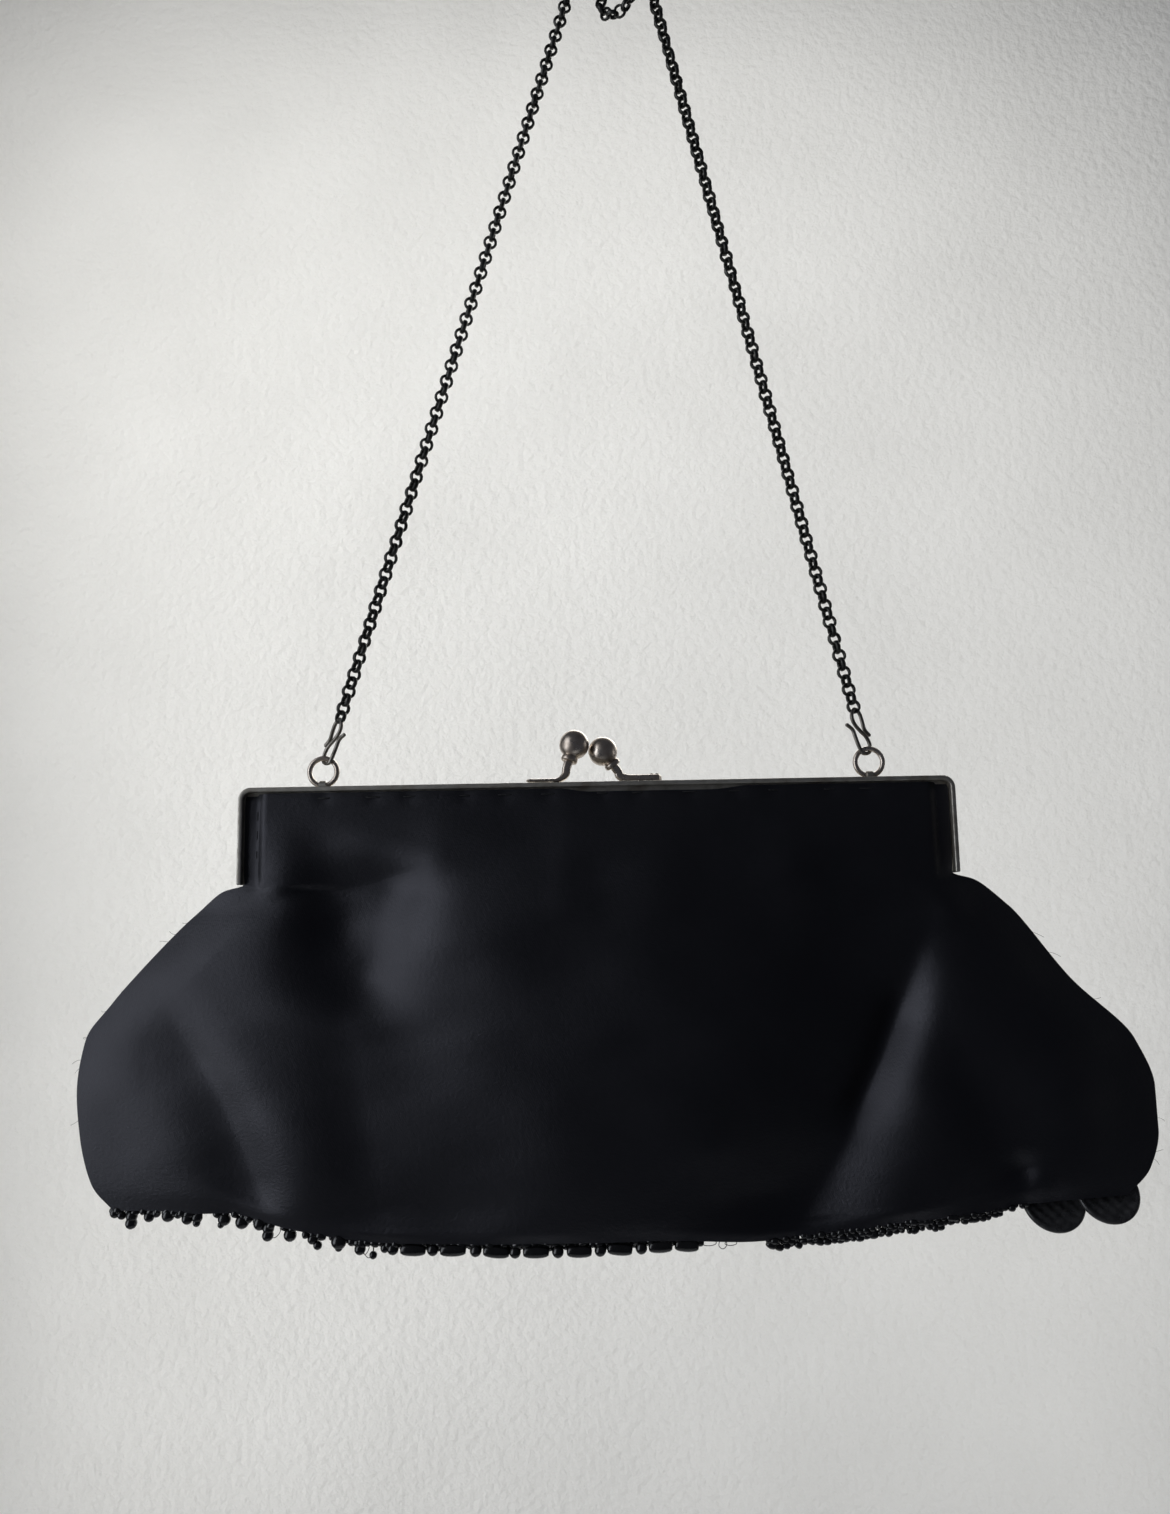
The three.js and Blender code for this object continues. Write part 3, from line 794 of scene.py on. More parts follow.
class ShapeTrees:
    """Geometry Nodes trees for what repeats: links, beads, stitches, discs and threads."""

    LINK_STEPS = 14
    LINK_WIRE_SIDES = 8
    THREAD_SIDES = 5
    DISC_POINTS = 29
    DISC_EDGE = (0.80, 0.90)
    DISC_WORN = (0.95, 1.0)
    EDGE_RISE = 1.2
    WORN_DROP = 2.2
    SAME_POINT = 1e-6

    def __init__(self) -> None:
        """Builds the trees."""
        self.links = self._links()
        self.beads = self._beads()
        self.discs = self._discs()
        self.threads = self._threads()

    @staticmethod
    def _start(name: str, sizes: Iterable[SocketRow]) -> tuple[Wiring, Any, Any]:
        """A tree that takes a geometry, its sizes and a material.

        Args:
            name: The tree's name.
            sizes: Its inputs between the geometry and the material.

        Returns:
            The tree's wiring, the sockets it is given and the sockets it fills.
        """
        geometry = SocketRow("Geometry", Socket.GEOMETRY)
        rows = [geometry, *sizes, SocketRow("Material", Socket.MATERIAL)]
        return group_tree(name, "GeometryNodeTree", rows, [geometry])

    @staticmethod
    def _finish(wiring: Wiring, given: Any, result: Any, made: Node) -> None:
        """Realises what a tree has made, smooths it and gives it its material.

        Args:
            wiring: The tree.
            given: The sockets it is given.
            result: The sockets it fills.
            made: The node that has made the geometry.
        """
        real = wiring.node("GeometryNodeRealizeInstances", {"Geometry": made})
        smooth = wiring.node("GeometryNodeSetShadeSmooth", {"Geometry": real})
        inputs = {"Geometry": smooth, "Material": given["Material"]}
        wiring.feed(result["Geometry"], wiring.node("GeometryNodeSetMaterial", inputs))

    @staticmethod
    def _named(wiring: Wiring, name: str, kind: str) -> Node:
        """An attribute of the points."""
        return wiring.node("GeometryNodeInputNamedAttribute", {"Name": name}, data_type=kind)

    @staticmethod
    def _ring(wiring: Wiring, points: int, radius: Any) -> Node:
        """A round line of a few points."""
        return wiring.node("GeometryNodeCurvePrimitiveCircle", {"Resolution": points, "Radius": radius})

    @staticmethod
    def _at(wiring: Wiring) -> Sequence[NodeSocket]:
        """The three coordinates of a mesh's points."""
        return wiring.node("ShaderNodeSeparateXYZ", {0: wiring.node("GeometryNodeInputPosition")}).outputs

    @staticmethod
    def _out(wiring: Wiring, x: NodeSocket, y: NodeSocket) -> NodeSocket:
        """The square of the distance from the middle."""
        return wiring.math("ADD", wiring.times(x, x), wiring.times(y, y))

    def _scattered(self, wiring: Wiring, given: Any, shape: Node) -> Node:
        """A shape on each point, turned and sized by the point's own values.

        Args:
            wiring: The tree.
            given: The sockets it is given, with the points.
            shape: The shape that is repeated.

        Returns:
            The placed shapes.
        """
        turn, grow = (self._named(wiring, name, "FLOAT_VECTOR") for name in ("turn", "grow"))
        rotation = wiring.node("FunctionNodeEulerToRotation", {0: turn})
        inputs = {"Points": given["Geometry"], "Instance": shape, "Rotation": rotation, "Scale": grow}
        return wiring.node("GeometryNodeInstanceOnPoints", inputs)

    def _links(self) -> NodeTree:
        """Round links along a line, each turned a quarter from the last.

        Returns:
            The tree.
        """
        wiring, given, result = self._start(
            "chain_links",
            [SocketRow("Link Count", Socket.INT, 100), SocketRow("Link Radius", Socket.FLOAT, 0.002),
             SocketRow("Wire Section", Socket.VECTOR, (0.0004, 0.0007, 1)),
             SocketRow("Play", Socket.FLOAT, 0.1), SocketRow("Seed", Socket.INT, 1)])
        line = wiring.node("GeometryNodeMeshToCurve", {"Mesh": given["Geometry"]})
        twist = self._named(wiring, "twist", "FLOAT")
        tilted = wiring.node("GeometryNodeSetCurveTilt", {"Curve": line, "Tilt": twist})
        points = wiring.node("GeometryNodeCurveToPoints", {"Curve": tilted, "Count": given["Link Count"]})
        odd = wiring.math("MODULO", wiring.node("GeometryNodeInputIndex"), 2.0)
        play = wiring.node("FunctionNodeRandomValue", data_type="FLOAT")
        limits = {"Min": wiring.times(given["Play"], -1.0), "Max": given["Play"], "Seed": given["Seed"]}
        for socket in play.inputs:
            if socket.enabled and socket.name in limits:
                wiring.feed(socket, limits[socket.name])
        loose = [socket for socket in play.outputs if socket.enabled][0]
        angle = wiring.math("ADD", wiring.times(odd, math.pi / 2), loose)
        spin = wiring.node("FunctionNodeAxisAngleToRotation", {"Axis": (0, 0, 1), "Angle": angle})
        turn = wiring.node("FunctionNodeRotateRotation", {0: points.outputs["Rotation"], 1: spin},
                           rotation_space="LOCAL")
        ring = self._ring(wiring, self.LINK_STEPS, given["Link Radius"])
        wire = self._ring(wiring, self.LINK_WIRE_SIDES, 1.0)
        flat = wiring.node("GeometryNodeTransform", {"Geometry": wire, "Scale": given["Wire Section"]})
        link = wiring.node("GeometryNodeCurveToMesh", {"Curve": ring, "Profile Curve": flat})
        upright = wiring.node("GeometryNodeTransform", {"Geometry": link, "Rotation": (math.pi / 2, 0, 0)})
        inputs = {"Points": points, "Instance": upright, "Rotation": turn}
        self._finish(wiring, given, result, wiring.node("GeometryNodeInstanceOnPoints", inputs))
        return wiring.tree

    def _beads(self) -> NodeTree:
        """Round to barrel shapes, also short stitches, on points.

        Returns:
            The tree.
        """
        wiring, given, result = self._start(
            "strung_shapes",
            [SocketRow("Radius", Socket.FLOAT, 0.001), SocketRow("Length", Socket.FLOAT, 0.002),
             SocketRow("Roundness", Socket.FLOAT, 1.0), SocketRow("Sides", Socket.INT, 10),
             SocketRow("Rings", Socket.INT, 7)])
        inputs = {"Segments": given["Sides"], "Rings": given["Rings"], "Radius": 1.0}
        ball = wiring.node("GeometryNodeMeshUVSphere", inputs)
        x, y, z = self._at(wiring)
        waist = wiring.math("SQRT", wiring.math("MAXIMUM", self._out(wiring, x, y), 1e-8))
        fuller = wiring.math("POWER", waist, wiring.math("SUBTRACT", given["Roundness"], 1.0))
        across = wiring.times(fuller, given["Radius"])
        half = wiring.times(given["Length"], 0.5)
        sized = [wiring.times(own, size) for own, size in ((x, across), (y, across), (z, half))]
        place = wiring.node("ShaderNodeCombineXYZ", dict(enumerate(sized)))
        shaped = wiring.node("GeometryNodeSetPosition", {"Geometry": ball, "Position": place})
        self._finish(wiring, given, result, self._scattered(wiring, given, shaped))
        return wiring.tree

    def _discs(self) -> NodeTree:
        """Flat discs with a raised edge and a cross-hatched face.

        Returns:
            The tree.
        """
        wiring, given, result = self._start(
            "hatched_discs",
            [SocketRow("Disc Radius", Socket.FLOAT, 0.008), SocketRow("Thickness", Socket.FLOAT, 0.001),
             SocketRow("Hatch Pitch", Socket.FLOAT, 0.002), SocketRow("Relief", Socket.FLOAT, 0.0002)])
        blank = self._round_blank(wiring, given)
        relief = given["Relief"]
        x, y, z = self._at(wiring)
        turns = wiring.math("DIVIDE", math.pi * math.sqrt(2.0), given["Hatch Pitch"])
        waves = [wiring.math("SINE", wiring.times(wiring.math(way, x, y), turns))
                 for way in ("ADD", "SUBTRACT")]
        hatch = wiring.times(wiring.math("ADD", *waves), wiring.times(relief, 0.5))
        share = wiring.math("DIVIDE", wiring.math("SQRT", self._out(wiring, x, y)), given["Disc Radius"])
        edge, worn = (wiring.node("ShaderNodeMapRange", {0: share, 1: low, 2: high})
                      for low, high in (self.DISC_EDGE, self.DISC_WORN))
        lip = wiring.times(edge, wiring.times(relief, self.EDGE_RISE))
        inside = wiring.times(hatch, wiring.math("SUBTRACT", 1.0, edge))
        drop = wiring.times(worn, wiring.times(relief, self.WORN_DROP))
        raised = wiring.math("SUBTRACT", wiring.math("ADD", inside, lip), drop)
        offset = wiring.node("ShaderNodeCombineXYZ", {2: wiring.times(raised, wiring.math("SIGN", z))})
        shaped = wiring.node("GeometryNodeSetPosition", {"Geometry": blank, "Offset": offset})
        self._finish(wiring, given, result, self._scattered(wiring, given, shaped))
        return wiring.tree

    def _round_blank(self, wiring: Wiring, given: Any) -> Node:
        """A disc's blank: a square grid drawn out to a round sheet and closed to a plate.

        Args:
            wiring: The tree.
            given: The sockets it is given, with the disc's radius and thickness.

        Returns:
            The node that makes the blank.
        """
        points = self.DISC_POINTS
        inputs = {"Size X": 2.0, "Size Y": 2.0, "Vertices X": points, "Vertices Y": points}
        grid = wiring.node("GeometryNodeMeshGrid", inputs)
        x, y, _ = self._at(wiring)
        places = []
        for own, other in ((x, y), (y, x)):
            narrow = wiring.math("MULTIPLY_ADD", wiring.times(other, other), -0.5, 1.0)
            rounded = wiring.times(own, wiring.math("SQRT", narrow))
            places.append(wiring.times(rounded, given["Disc Radius"]))
        places.append(wiring.times(given["Thickness"], -0.5))
        place = wiring.node("ShaderNodeCombineXYZ", dict(enumerate(places)))
        sheet = wiring.node("GeometryNodeSetPosition", {"Geometry": grid, "Position": place})
        inputs = {"Mesh": sheet, "Offset Scale": given["Thickness"], "Individual": False}
        raised = wiring.node("GeometryNodeExtrudeMesh", inputs)
        under = wiring.node("GeometryNodeFlipFaces", {"Mesh": sheet})
        plate = wiring.node("GeometryNodeJoinGeometry")
        for part in (under, raised):
            wiring.feed(plate.inputs[0], part)
        return wiring.node("GeometryNodeMergeByDistance", {"Geometry": plate, "Distance": self.SAME_POINT})

    def _threads(self) -> NodeTree:
        """Thin thread along lines.

        Returns:
            The tree.
        """
        sizes = [SocketRow("Thread Radius", Socket.FLOAT, 0.0001)]
        wiring, given, result = self._start("thread_lines", sizes)
        line = wiring.node("GeometryNodeMeshToCurve", {"Mesh": given["Geometry"]})
        ply = self._ring(wiring, self.THREAD_SIDES, given["Thread Radius"])
        inputs = {"Curve": line, "Profile Curve": ply, "Fill Caps": True}
        self._finish(wiring, given, result, wiring.node("GeometryNodeCurveToMesh", inputs))
        return wiring.tree


def realised(name: str, source: Mesh, tree: NodeTree, values: dict[str, Any]) -> Object:
    """What a Geometry Nodes tree makes of a mesh, as a plain mesh object.

    Args:
        name: The piece's name.
        source: Points or lines with the values that the tree reads.
        tree: The tree.
        values: Its inputs by name.

    Returns:
        The piece.
    """
    carrier = linked(f"{name}.points", source)
    modifier = carrier.modifiers.new("shape", "NODES")
    modifier.node_group = tree
    for item in tree.interface.items_tree:
        if item.item_type == "SOCKET" and item.in_out == "INPUT" and item.name in values:
            modifier[item.identifier] = values[item.name]
    graph = bpy.context.evaluated_depsgraph_get()
    mesh = bpy.data.meshes.new_from_object(carrier.evaluated_get(graph), depsgraph=graph)
    mesh.name = name
    piece = linked(name, mesh)
    bpy.data.objects.remove(carrier)
    return piece


def point_cloud(name: str, places: Array, turns: Array, sizes: Array) -> Mesh:
    """Loose points with a turn and a size each.

    Args:
        name: The mesh's name.
        places: The points, in metres.
        turns: Euler turns, in radians.
        sizes: A scale along each of the shape's own axes.

    Returns:
        The mesh.
    """
    mesh = bpy.data.meshes.new(f"{name}.points")
    mesh.from_pydata(np.asarray(places).tolist(), [], [])
    for key, rows in (("turn", turns), ("grow", sizes)):
        layer = mesh.attributes.new(key, "FLOAT_VECTOR", "POINT")
        layer.data.foreach_set("vector", np.ascontiguousarray(rows, np.float32).ravel())
    return mesh


def line_mesh(name: str, lines: Sequence[Array]) -> Mesh:
    """Open lines as the edges of one mesh.

    Args:
        name: The mesh's name.
        lines: The lines' points, in metres.

    Returns:
        The mesh.
    """
    edges = []
    start = 0
    for line in lines:
        edges.extend((start + i, start + i + 1) for i in range(len(line) - 1))
        start += len(line)
    mesh = bpy.data.meshes.new(f"{name}.lines")
    mesh.from_pydata(np.vstack(lines).tolist(), edges, [])
    return mesh


@dataclass
class Workshop:
    """What every piece is made with: the bag's place, the trees and the finished materials."""

    space: BagSpace
    trees: ShapeTrees
    satin: Material
    rim: Material
    fitting: Material
    hook: Material
    gunmetal: Material
    jet: Material
    etched: Material
    thread: Material

    @classmethod
    def open(cls, effects: SurfaceEffects) -> "Workshop":
        """Makes the materials and trees."""
        finishes = (SatinFinish(), *METALS, *GLASSES, ThreadFinish())
        return cls(BagSpace.from_frame(), ShapeTrees(), *(finish.material(effects) for finish in finishes))

    def beads(self, name: str, places: Sequence[Array], ways: Sequence[Any], shape: "BeadShape",
              material: Material, sizes: Sequence[Any] | None = None) -> Object:
        """Beads, or stitches, at given places.

        Args:
            name: The piece's name.
            places: Where they are, in millimetres in the bag.
            ways: The directions in which their threads run.
            shape: The bead that is repeated.
            material: Its finish.
            sizes: A scale for each along its own axes, unless all are alike.

        Returns:
            The piece.
        """
        grown = np.ones((len(places), 3)) if sizes is None else np.array(sizes)
        cloud = point_cloud(name, self.space.array(places), turn_to(ways), grown)
        values = {"Radius": shape.radius * MM, "Length": shape.length * MM, "Roundness": shape.roundness,
                  "Sides": shape.sides, "Rings": shape.rings, "Material": material}
        return realised(name, cloud, self.trees.beads, values)

    def thread_lines(self, name: str, lines: Sequence[Array], radius: float) -> Object:
        """Thread along lines.

        Args:
            name: The piece's name.
            lines: The lines' points, in millimetres in the bag.
            radius: The thread's radius, in millimetres.

        Returns:
            The piece.
        """
        mesh = line_mesh(name, [self.space.array(line) for line in lines])
        values = {"Thread Radius": radius * MM, "Material": self.thread}
        return realised(name, mesh, self.trees.threads, values)


@dataclass(frozen=True)
class BeadShape:
    """One bead: its sizes in millimetres, and how full it is (1 is a ball)."""

    radius: float
    length: float
    roundness: float = 1.0
    sides: int = 12
    rings: int = 8


class Level(NamedTuple):
    """One level of the pouch: its ends, its middle's height and how far it stands off the seam plane."""

    left_x: float
    left_z: float
    right_x: float
    right_z: float
    middle_z: float
    ends: float
    back: float
    front: float


class Fold(NamedTuple):
    """One fold: its start, end and bow, its spread to either side, its height, bluntness and opening."""

    start_x: float
    start_z: float
    end_x: float
    end_z: float
    bow: float
    left: float
    right: float
    height: float
    blunt: float = 2.0
    opens: float = 0.0


class HemWave(NamedTuple):
    """One dip or rise of the hem: its place along the bag, its spread and how far down it goes."""

    x: float
    spread: float
    drop: float


class Wave(NamedTuple):
    """One slow wave in the cloth: its length, its direction in degrees, its start and its height."""

    length: float
    turn: float
    start: float
    height: float


LEVELS = (
    Level(-95.6, -1.7, 95.6, -1.7, -1.7, 4.7, 0.0, 0.0),
    Level(-98.1, -8.0, 98.1, -8.0, -8.0, 4.8, 1.2, 1.0),
    Level(-98.1, -17.0, 98.1, -17.0, -18.0, 4.8, 4.5, 4.0),
    Level(-98.1, -26.6, 98.1, -26.6, -29.3, 4.4, 8.5, 7.5),
    Level(-104.3, -28.7, 104.8, -29.1, -40.5, 2.4, 12.5, 11.0),
    Level(-113.4, -35.9, 114.3, -36.4, -52.6, 0.60, 15.5, 14.0),
    Level(-134.5, -58.4, 130.0, -56.5, -67.4, 0.60, 17.6, 16.2),
    Level(-141.8, -68.8, 146.2, -72.9, -81.0, 0.60, 17.8, 16.6),
    Level(-143.6, -81.5, 150.8, -86.0, -94.0, 0.60, 17.3, 15.6),
    Level(-142.3, -94.1, 150.8, -97.2, -106.0, 0.60, 15.6, 12.0),
    Level(-138.5, -107.0, 147.8, -107.3, -115.4, 0.60, 12.9, 3.0),
    Level(-132.5, -113.6, 141.1, -114.3, -121.5, 0.60, 10.4, -10.4),
)

BACK_FOLDS = (
    Fold(-58, -22, -67, -59, 0, 17, 13, -7.2),
    Fold(-67, -60, -55, -124, 0, 17, 44, -4.8),
    Fold(-115, -66, -90, -116, 3, 12, 7.0, -3.2, 1.7),
    Fold(-103, -28, -119, -54, 0, 9, 16, 1.5),
    Fold(87, -48, 45, -130, 3, 28, 7.0, -9.2, 1.4, 0.9),
    Fold(83.5, -60, 67.5, -92, 0.5, 5, 4.6, -2.6, 1.6),
    Fold(84, -62, 44, -130, 2.5, 18, 24, -2.6),
    Fold(96, -66, 114, -126, 0, 10, 15, -3.0),
    Fold(112, -104, 113, -128, 0, 5, 3.3, -2.3),
    Fold(121, -108, 120.5, -128, 0, 3, 3, -0.9),
    Fold(-90.5, -6, -89.5, -28, 0, 4.5, 7, 2.3),
    Fold(-79, -10, -71, -44, 0, 9, 8.5, -2.8),
    Fold(-99, -26, -68, -28, 0, 4, 3, -1.2),
    Fold(96, -24, 98, -40, 0, 7, 6, 1.2),
    Fold(86, -5, 93, -12, 0, 2.6, 3, 0.7),
    Fold(88, -15, 95, -26, 0, 2.8, 3.2, 0.8),
    Fold(76, -20, 58, -62, 0, 12, 14, -1.2),
    Fold(-8, -4, -9, -36, 0, 5, 7, 0.35),
    Fold(50, -4, 58, -52, 0, 6, 6, 0.35),
    Fold(-45, -6, -44, -24, 0, 4, 5, 0.3),
)

FRONT_FOLDS = (
    Fold(-70, -14, -88, -60, 0, 8, 8, -2.0),
    Fold(72, -14, 90, -60, 0, 8, 8, -2.0),
    Fold(-22, -10, -26, -44, 0, 7, 7, -0.9),
    Fold(26, -10, 30, -44, 0, 7, 7, -0.9),
)

HEM_WAVES = (
    HemWave(40, 15, 1.2),
    HemWave(98, 9, 0.25),
    HemWave(76, 6, -0.3),
    HemWave(12, 9, -0.2),
    HemWave(-30, 8, 0.15),
    HemWave(-98, 7, -0.9),
    HemWave(-108, 5, 0.25),
    HemWave(-122, 5, -0.25),
    HemWave(56, 24, 1.7),
)

SLOW_WAVES = (
    Wave(46, 12, 0.4, 0.22),
    Wave(31, -24, 2.1, 0.14),
    Wave(23, 48, 4.0, 0.08),
    Wave(17, 96, 1.3, 0.05),
    Wave(12, -70, 5.2, 0.03),
)


@dataclass
class SatinPanel:
    """One of the two satin panels, gathered into the frame and sewn to the other at the sides and hem."""

    shop: Workshop
    side: Side
    name: str
    node: str
    frame_node: str
    folds: tuple[Fold, ...]
    columns: int = 260
    rows: int = 132
    thickness: float = 0.55
    hem_left: Two = (0.40, 0.86)
    hem_right: float = 1.6
    corner: float = 2.1
    corner_z: float = -3.4
    mouth: float = 98.45
    fullness: float = 2.4
    fold_fade: float = 5.0
    hem_fade: float = 0.14
    hem_share: float = 0.55
    fold_limit: float = 1.5
    wave_fade: float = 3.0
    groove_inner: float = 92.6
    groove_outer: float = 94.8
    groove_depth: float = 1.4
    groove_foot: Two = (-30.0, -24.0)
    tuck_depth: float = 0.35
    tuck: Two = (-4.2, -1.9)
    stitch_pitch: float = 12.7
    stitch_z: float = -3.3
    stitch_margin: float = 4.0
    stitch_stray: float = 1.6
    stitch_beat: float = 2.4
    dimple: float = 0.3
    dimple_size: Two = (2.4, 2.2)
    slack_start: Two = (-11.0, -2.0)
    slack_stop: Two = (32.0, 43.0)
    slack_drop: float = 1.0
    slack_reach: float = 0.12
    hem_from: float = 0.78
    frame_foot: Two = (24.0, 27.0)
    steepest: float = 0.2
    sharp: float = 60.0
    grid: Array = field(default_factory=lambda: np.empty((0, 0, 3)))
    normals: Array = field(default_factory=lambda: np.empty((0, 0, 3)))

    def level(self, column: str, share: Array) -> Array:
        """A column of the levels, smooth and without overshoot.

        Args:
            column: The column's name.
            share: Shares of the way down.

        Returns:
            The column's values there.
        """
        values = np.array([getattr(row, column) for row in LEVELS])
        steps = np.diff(values)
        slopes = np.concatenate([[steps[0]], np.zeros(len(steps) - 1), [steps[-1]]])
        for i in range(1, len(steps)):
            if steps[i - 1] * steps[i] > 0:
                slopes[i] = 2 * steps[i - 1] * steps[i] / (steps[i - 1] + steps[i])
        place = np.clip(share, 0, 1) * len(steps)
        i = np.minimum(place.astype(int), len(steps) - 1)
        t = place - i
        return ((2 * t**3 - 3 * t**2 + 1) * values[i] + (t**3 - 2 * t**2 + t) * slopes[i]
                + (3 * t**2 - 2 * t**3) * values[i + 1] + (t**3 - t**2) * slopes[i + 1])

    @staticmethod
    def folded(folds: Sequence[Fold], x: Array, z: Array) -> Array:
        """How far folds raise the cloth.

        Args:
            folds: The folds.
            x: Places along the bag.
            z: Their heights.

        Returns:
            The raise at each.
        """
        height = np.zeros_like(x)
        for row in folds:
            run = np.array([row.end_x - row.start_x, row.end_z - row.start_z])
            length = float(np.linalg.norm(run))
            away_x, away_z = x - row.start_x, z - row.start_z
            share = (away_x * run[0] + away_z * run[1]) / length**2
            along = np.clip(share, 0, 1)
            off = (run[0] * away_z - run[1] * away_x) / length - row.bow * 4 * along * (1 - along)
            width = np.where(off < 0, row.left, row.right * (1 + row.opens * along))
            fade = smooth_step(share, -0.2, 0.2) * (1 - smooth_step(share, 0.8, 1.2))
            height += row.height * fade * np.exp(-(np.abs(off / width) ** row.blunt))
        return height

    def waved(self, x: Array, z: Array) -> Array:
        """The slow waves of the cloth.

        Args:
            x: Places along the bag.
            z: Their heights.

        Returns:
            The raise at each.
        """
        height = np.zeros_like(x)
        for row in SLOW_WAVES:
            angle = math.radians(row.turn)
            along = x * math.cos(angle) + z * math.sin(angle)
            height += row.height * np.sin(2 * math.pi * along / row.length + row.start)
        return height

    def stitch_places(self) -> Array:
        """Where the running stitches along the frame's top are.

        Returns:
            Their places along the bag.
        """
        count = int(2 * (self.groove_inner - self.stitch_margin) / self.stitch_pitch)
        middle = (np.arange(count) - (count - 1) / 2) * self.stitch_pitch
        return middle + self.stitch_stray * np.sin(np.arange(count) * self.stitch_beat)

    def sewn(self, x: Array, z: Array) -> Array:
        """How far the sewing pulls the cloth in beside the rim.

        Args:
            x: Places along the bag.
            z: Their heights.

        Returns:
            The pull at each.
        """
        arms = smooth_step(np.abs(x), self.groove_inner, self.groove_outer)
        groove = arms * smooth_step(z, *self.groove_foot) * self.groove_depth
        pulled = smooth_step(z, *self.tuck) * self.tuck_depth
        wide, tall = self.dimple_size
        for at in self.stitch_places():
            pulled += self.dimple * np.exp(-(((x - at) / wide) ** 2) - ((z - self.stitch_z) / tall) ** 2)
        return groove + pulled

    def dropped(self, x: Array, down: Array) -> Array:
        """How far the top edge has come down where its stitches are slack, and the hem where it waves.

        Args:
            x: Places along the bag.
            down: Shares of the way down.

        Returns:
            The drop at each.
        """
        span = smooth_step(x, *self.slack_start) * (1 - smooth_step(x, *self.slack_stop))
        top = self.slack_drop * span * (1 - smooth_step(down, 0.0, self.slack_reach))
        hem = sum(wave.drop * np.exp(-(((x - wave.x) / wave.spread) ** 2)) for wave in HEM_WAVES)
        return top + hem * smooth_step(down, self.hem_from, 1.0)

    def surface(self, across: Array, down: Array) -> Array:
        """Points on the panel's outer face.

        Args:
            across: Shares of the way across, from -1 to 1.
            down: Shares of the way down, from 0 to 1.

        Returns:
            The points, in millimetres in the bag.
        """
        left = across < 0
        end_x = np.where(left, self.level("left_x", down), self.level("right_x", down))
        end_z = np.where(left, self.level("left_z", down), self.level("right_z", down))
        rise = np.clip((end_z - self.corner_z) / self.corner, 0, 1)
        in_frame = self.mouth - self.corner * (1 - np.sqrt(1 - rise**2))
        framed = 1 - smooth_step(-end_z, *self.frame_foot)
        end_x = end_x + (np.sign(end_x) * in_frame - end_x) * framed
        x = np.abs(across) * end_x
        sag = np.where(left, 1 - smooth_step(-across, *self.hem_left), (1 - across**2) ** self.hem_right)
        z = end_z + (self.level("middle_z", down) - end_z) * sag - self.dropped(x, down)
        bulge = 1 - np.abs(across) ** self.fullness
        swell = self.level(self.side.name.lower(), down) * bulge
        depth = (self.level("back", down) + self.level("front", down)) / 2 * bulge
        above_hem = smooth_step(1 - down, 0, self.hem_fade)
        folds = self.folded(self.folds, x, z) * np.clip(depth / self.fold_fade, 0, 1) * above_hem
        deepest = np.maximum(self.fold_limit * depth, 1e-3)
        held = folds / (1 + (np.abs(np.minimum(folds, 0.0)) / deepest) ** 4) ** 0.25
        relief = held + self.waved(x, z) * np.clip(depth / self.wave_fade, 0, 1) - self.sewn(x, z)
        hem_pull = self.folded(BACK_FOLDS, x, z) * self.hem_share * (1 - above_hem)
        y = self.side.value * (self.level("ends", down) + swell + relief) - hem_pull
        return np.stack([x, y, z], axis=-1)

    def build(self) -> Object:
        """Returns:
            The panel.
        """
        down, across = np.meshgrid(np.linspace(0, 1, self.rows + 1), np.linspace(-1, 1, self.columns + 1),
                                   indexing="ij")
        self.grid = self.surface(across, down)
        along = np.gradient(self.grid, axis=1)
        below = np.gradient(self.grid, axis=0)
        self.normals = unit(np.cross(along, below)) * self.side.value
        inner = self.grid - self.normals * self.thickness
        points = np.vstack([self.grid.reshape(-1, 3), inner.reshape(-1, 3)])
        mesh = bpy.data.meshes.new(self.name)
        mesh.from_pydata(self.shop.space.array(points).tolist(), [], self._faces())
        mesh.shade_smooth()
        mesh.set_sharp_from_angle(angle=math.radians(self.sharp))
        piece = dress(linked(self.name, mesh), self.shop.satin)
        fit(piece, [self.node])
        return piece

    def _faces(self) -> list[tuple[int, ...]]:
        """Faces of the outer and inner skins and of the edge between them.

        Returns:
            The faces, as indices of the points.
        """
        wide = self.columns + 1
        total = wide * (self.rows + 1)
        outward = self.side is Side.BACK
        faces: list[tuple[int, ...]] = []

        def add(a: int, b: int, c: int, d: int) -> None:
            """One face, turned to suit the panel's side."""
            faces.append((a, b, c, d) if outward else (d, c, b, a))

        for row in range(self.rows):
            for column in range(self.columns):
                a = row * wide + column
                b, c, d = a + wide, a + wide + 1, a + 1
                add(a, b, c, d)
                add(d + total, c + total, b + total, a + total)
        last = self.rows * wide
        for column in range(self.columns):
            add(column, column + 1, column + 1 + total, column + total)
            add(last + column + 1, last + column, last + column + total, last + column + 1 + total)
        for row in range(self.rows):
            a, b = row * wide, (row + 1) * wide
            add(b, a, a + total, b + total)
            c, d = a + self.columns, b + self.columns
            add(c, d, d + total, c + total)
        return faces

    def rest(self, x: float, z: float, lift: float = 0.0) -> tuple[Array, Array]:
        """The place on the outer face at a given x and z.

        Args:
            x: Place along the bag.
            z: Height.
            lift: How far to stand off the cloth.

        Returns:
            The place and the cloth's outward direction there.
        """
        away = (self.grid[..., 0] - x) ** 2 + (self.grid[..., 2] - z) ** 2
        row, column = np.unravel_index(np.argmin(away), away.shape)
        near, normal = self.grid[row, column], self.normals[row, column]
        y = near[1]
        if abs(normal[1]) > self.steepest:
            y -= (normal[0] * (x - near[0]) + normal[2] * (z - near[2])) / normal[1]
        return np.array([x, y, z]) + normal * lift, normal


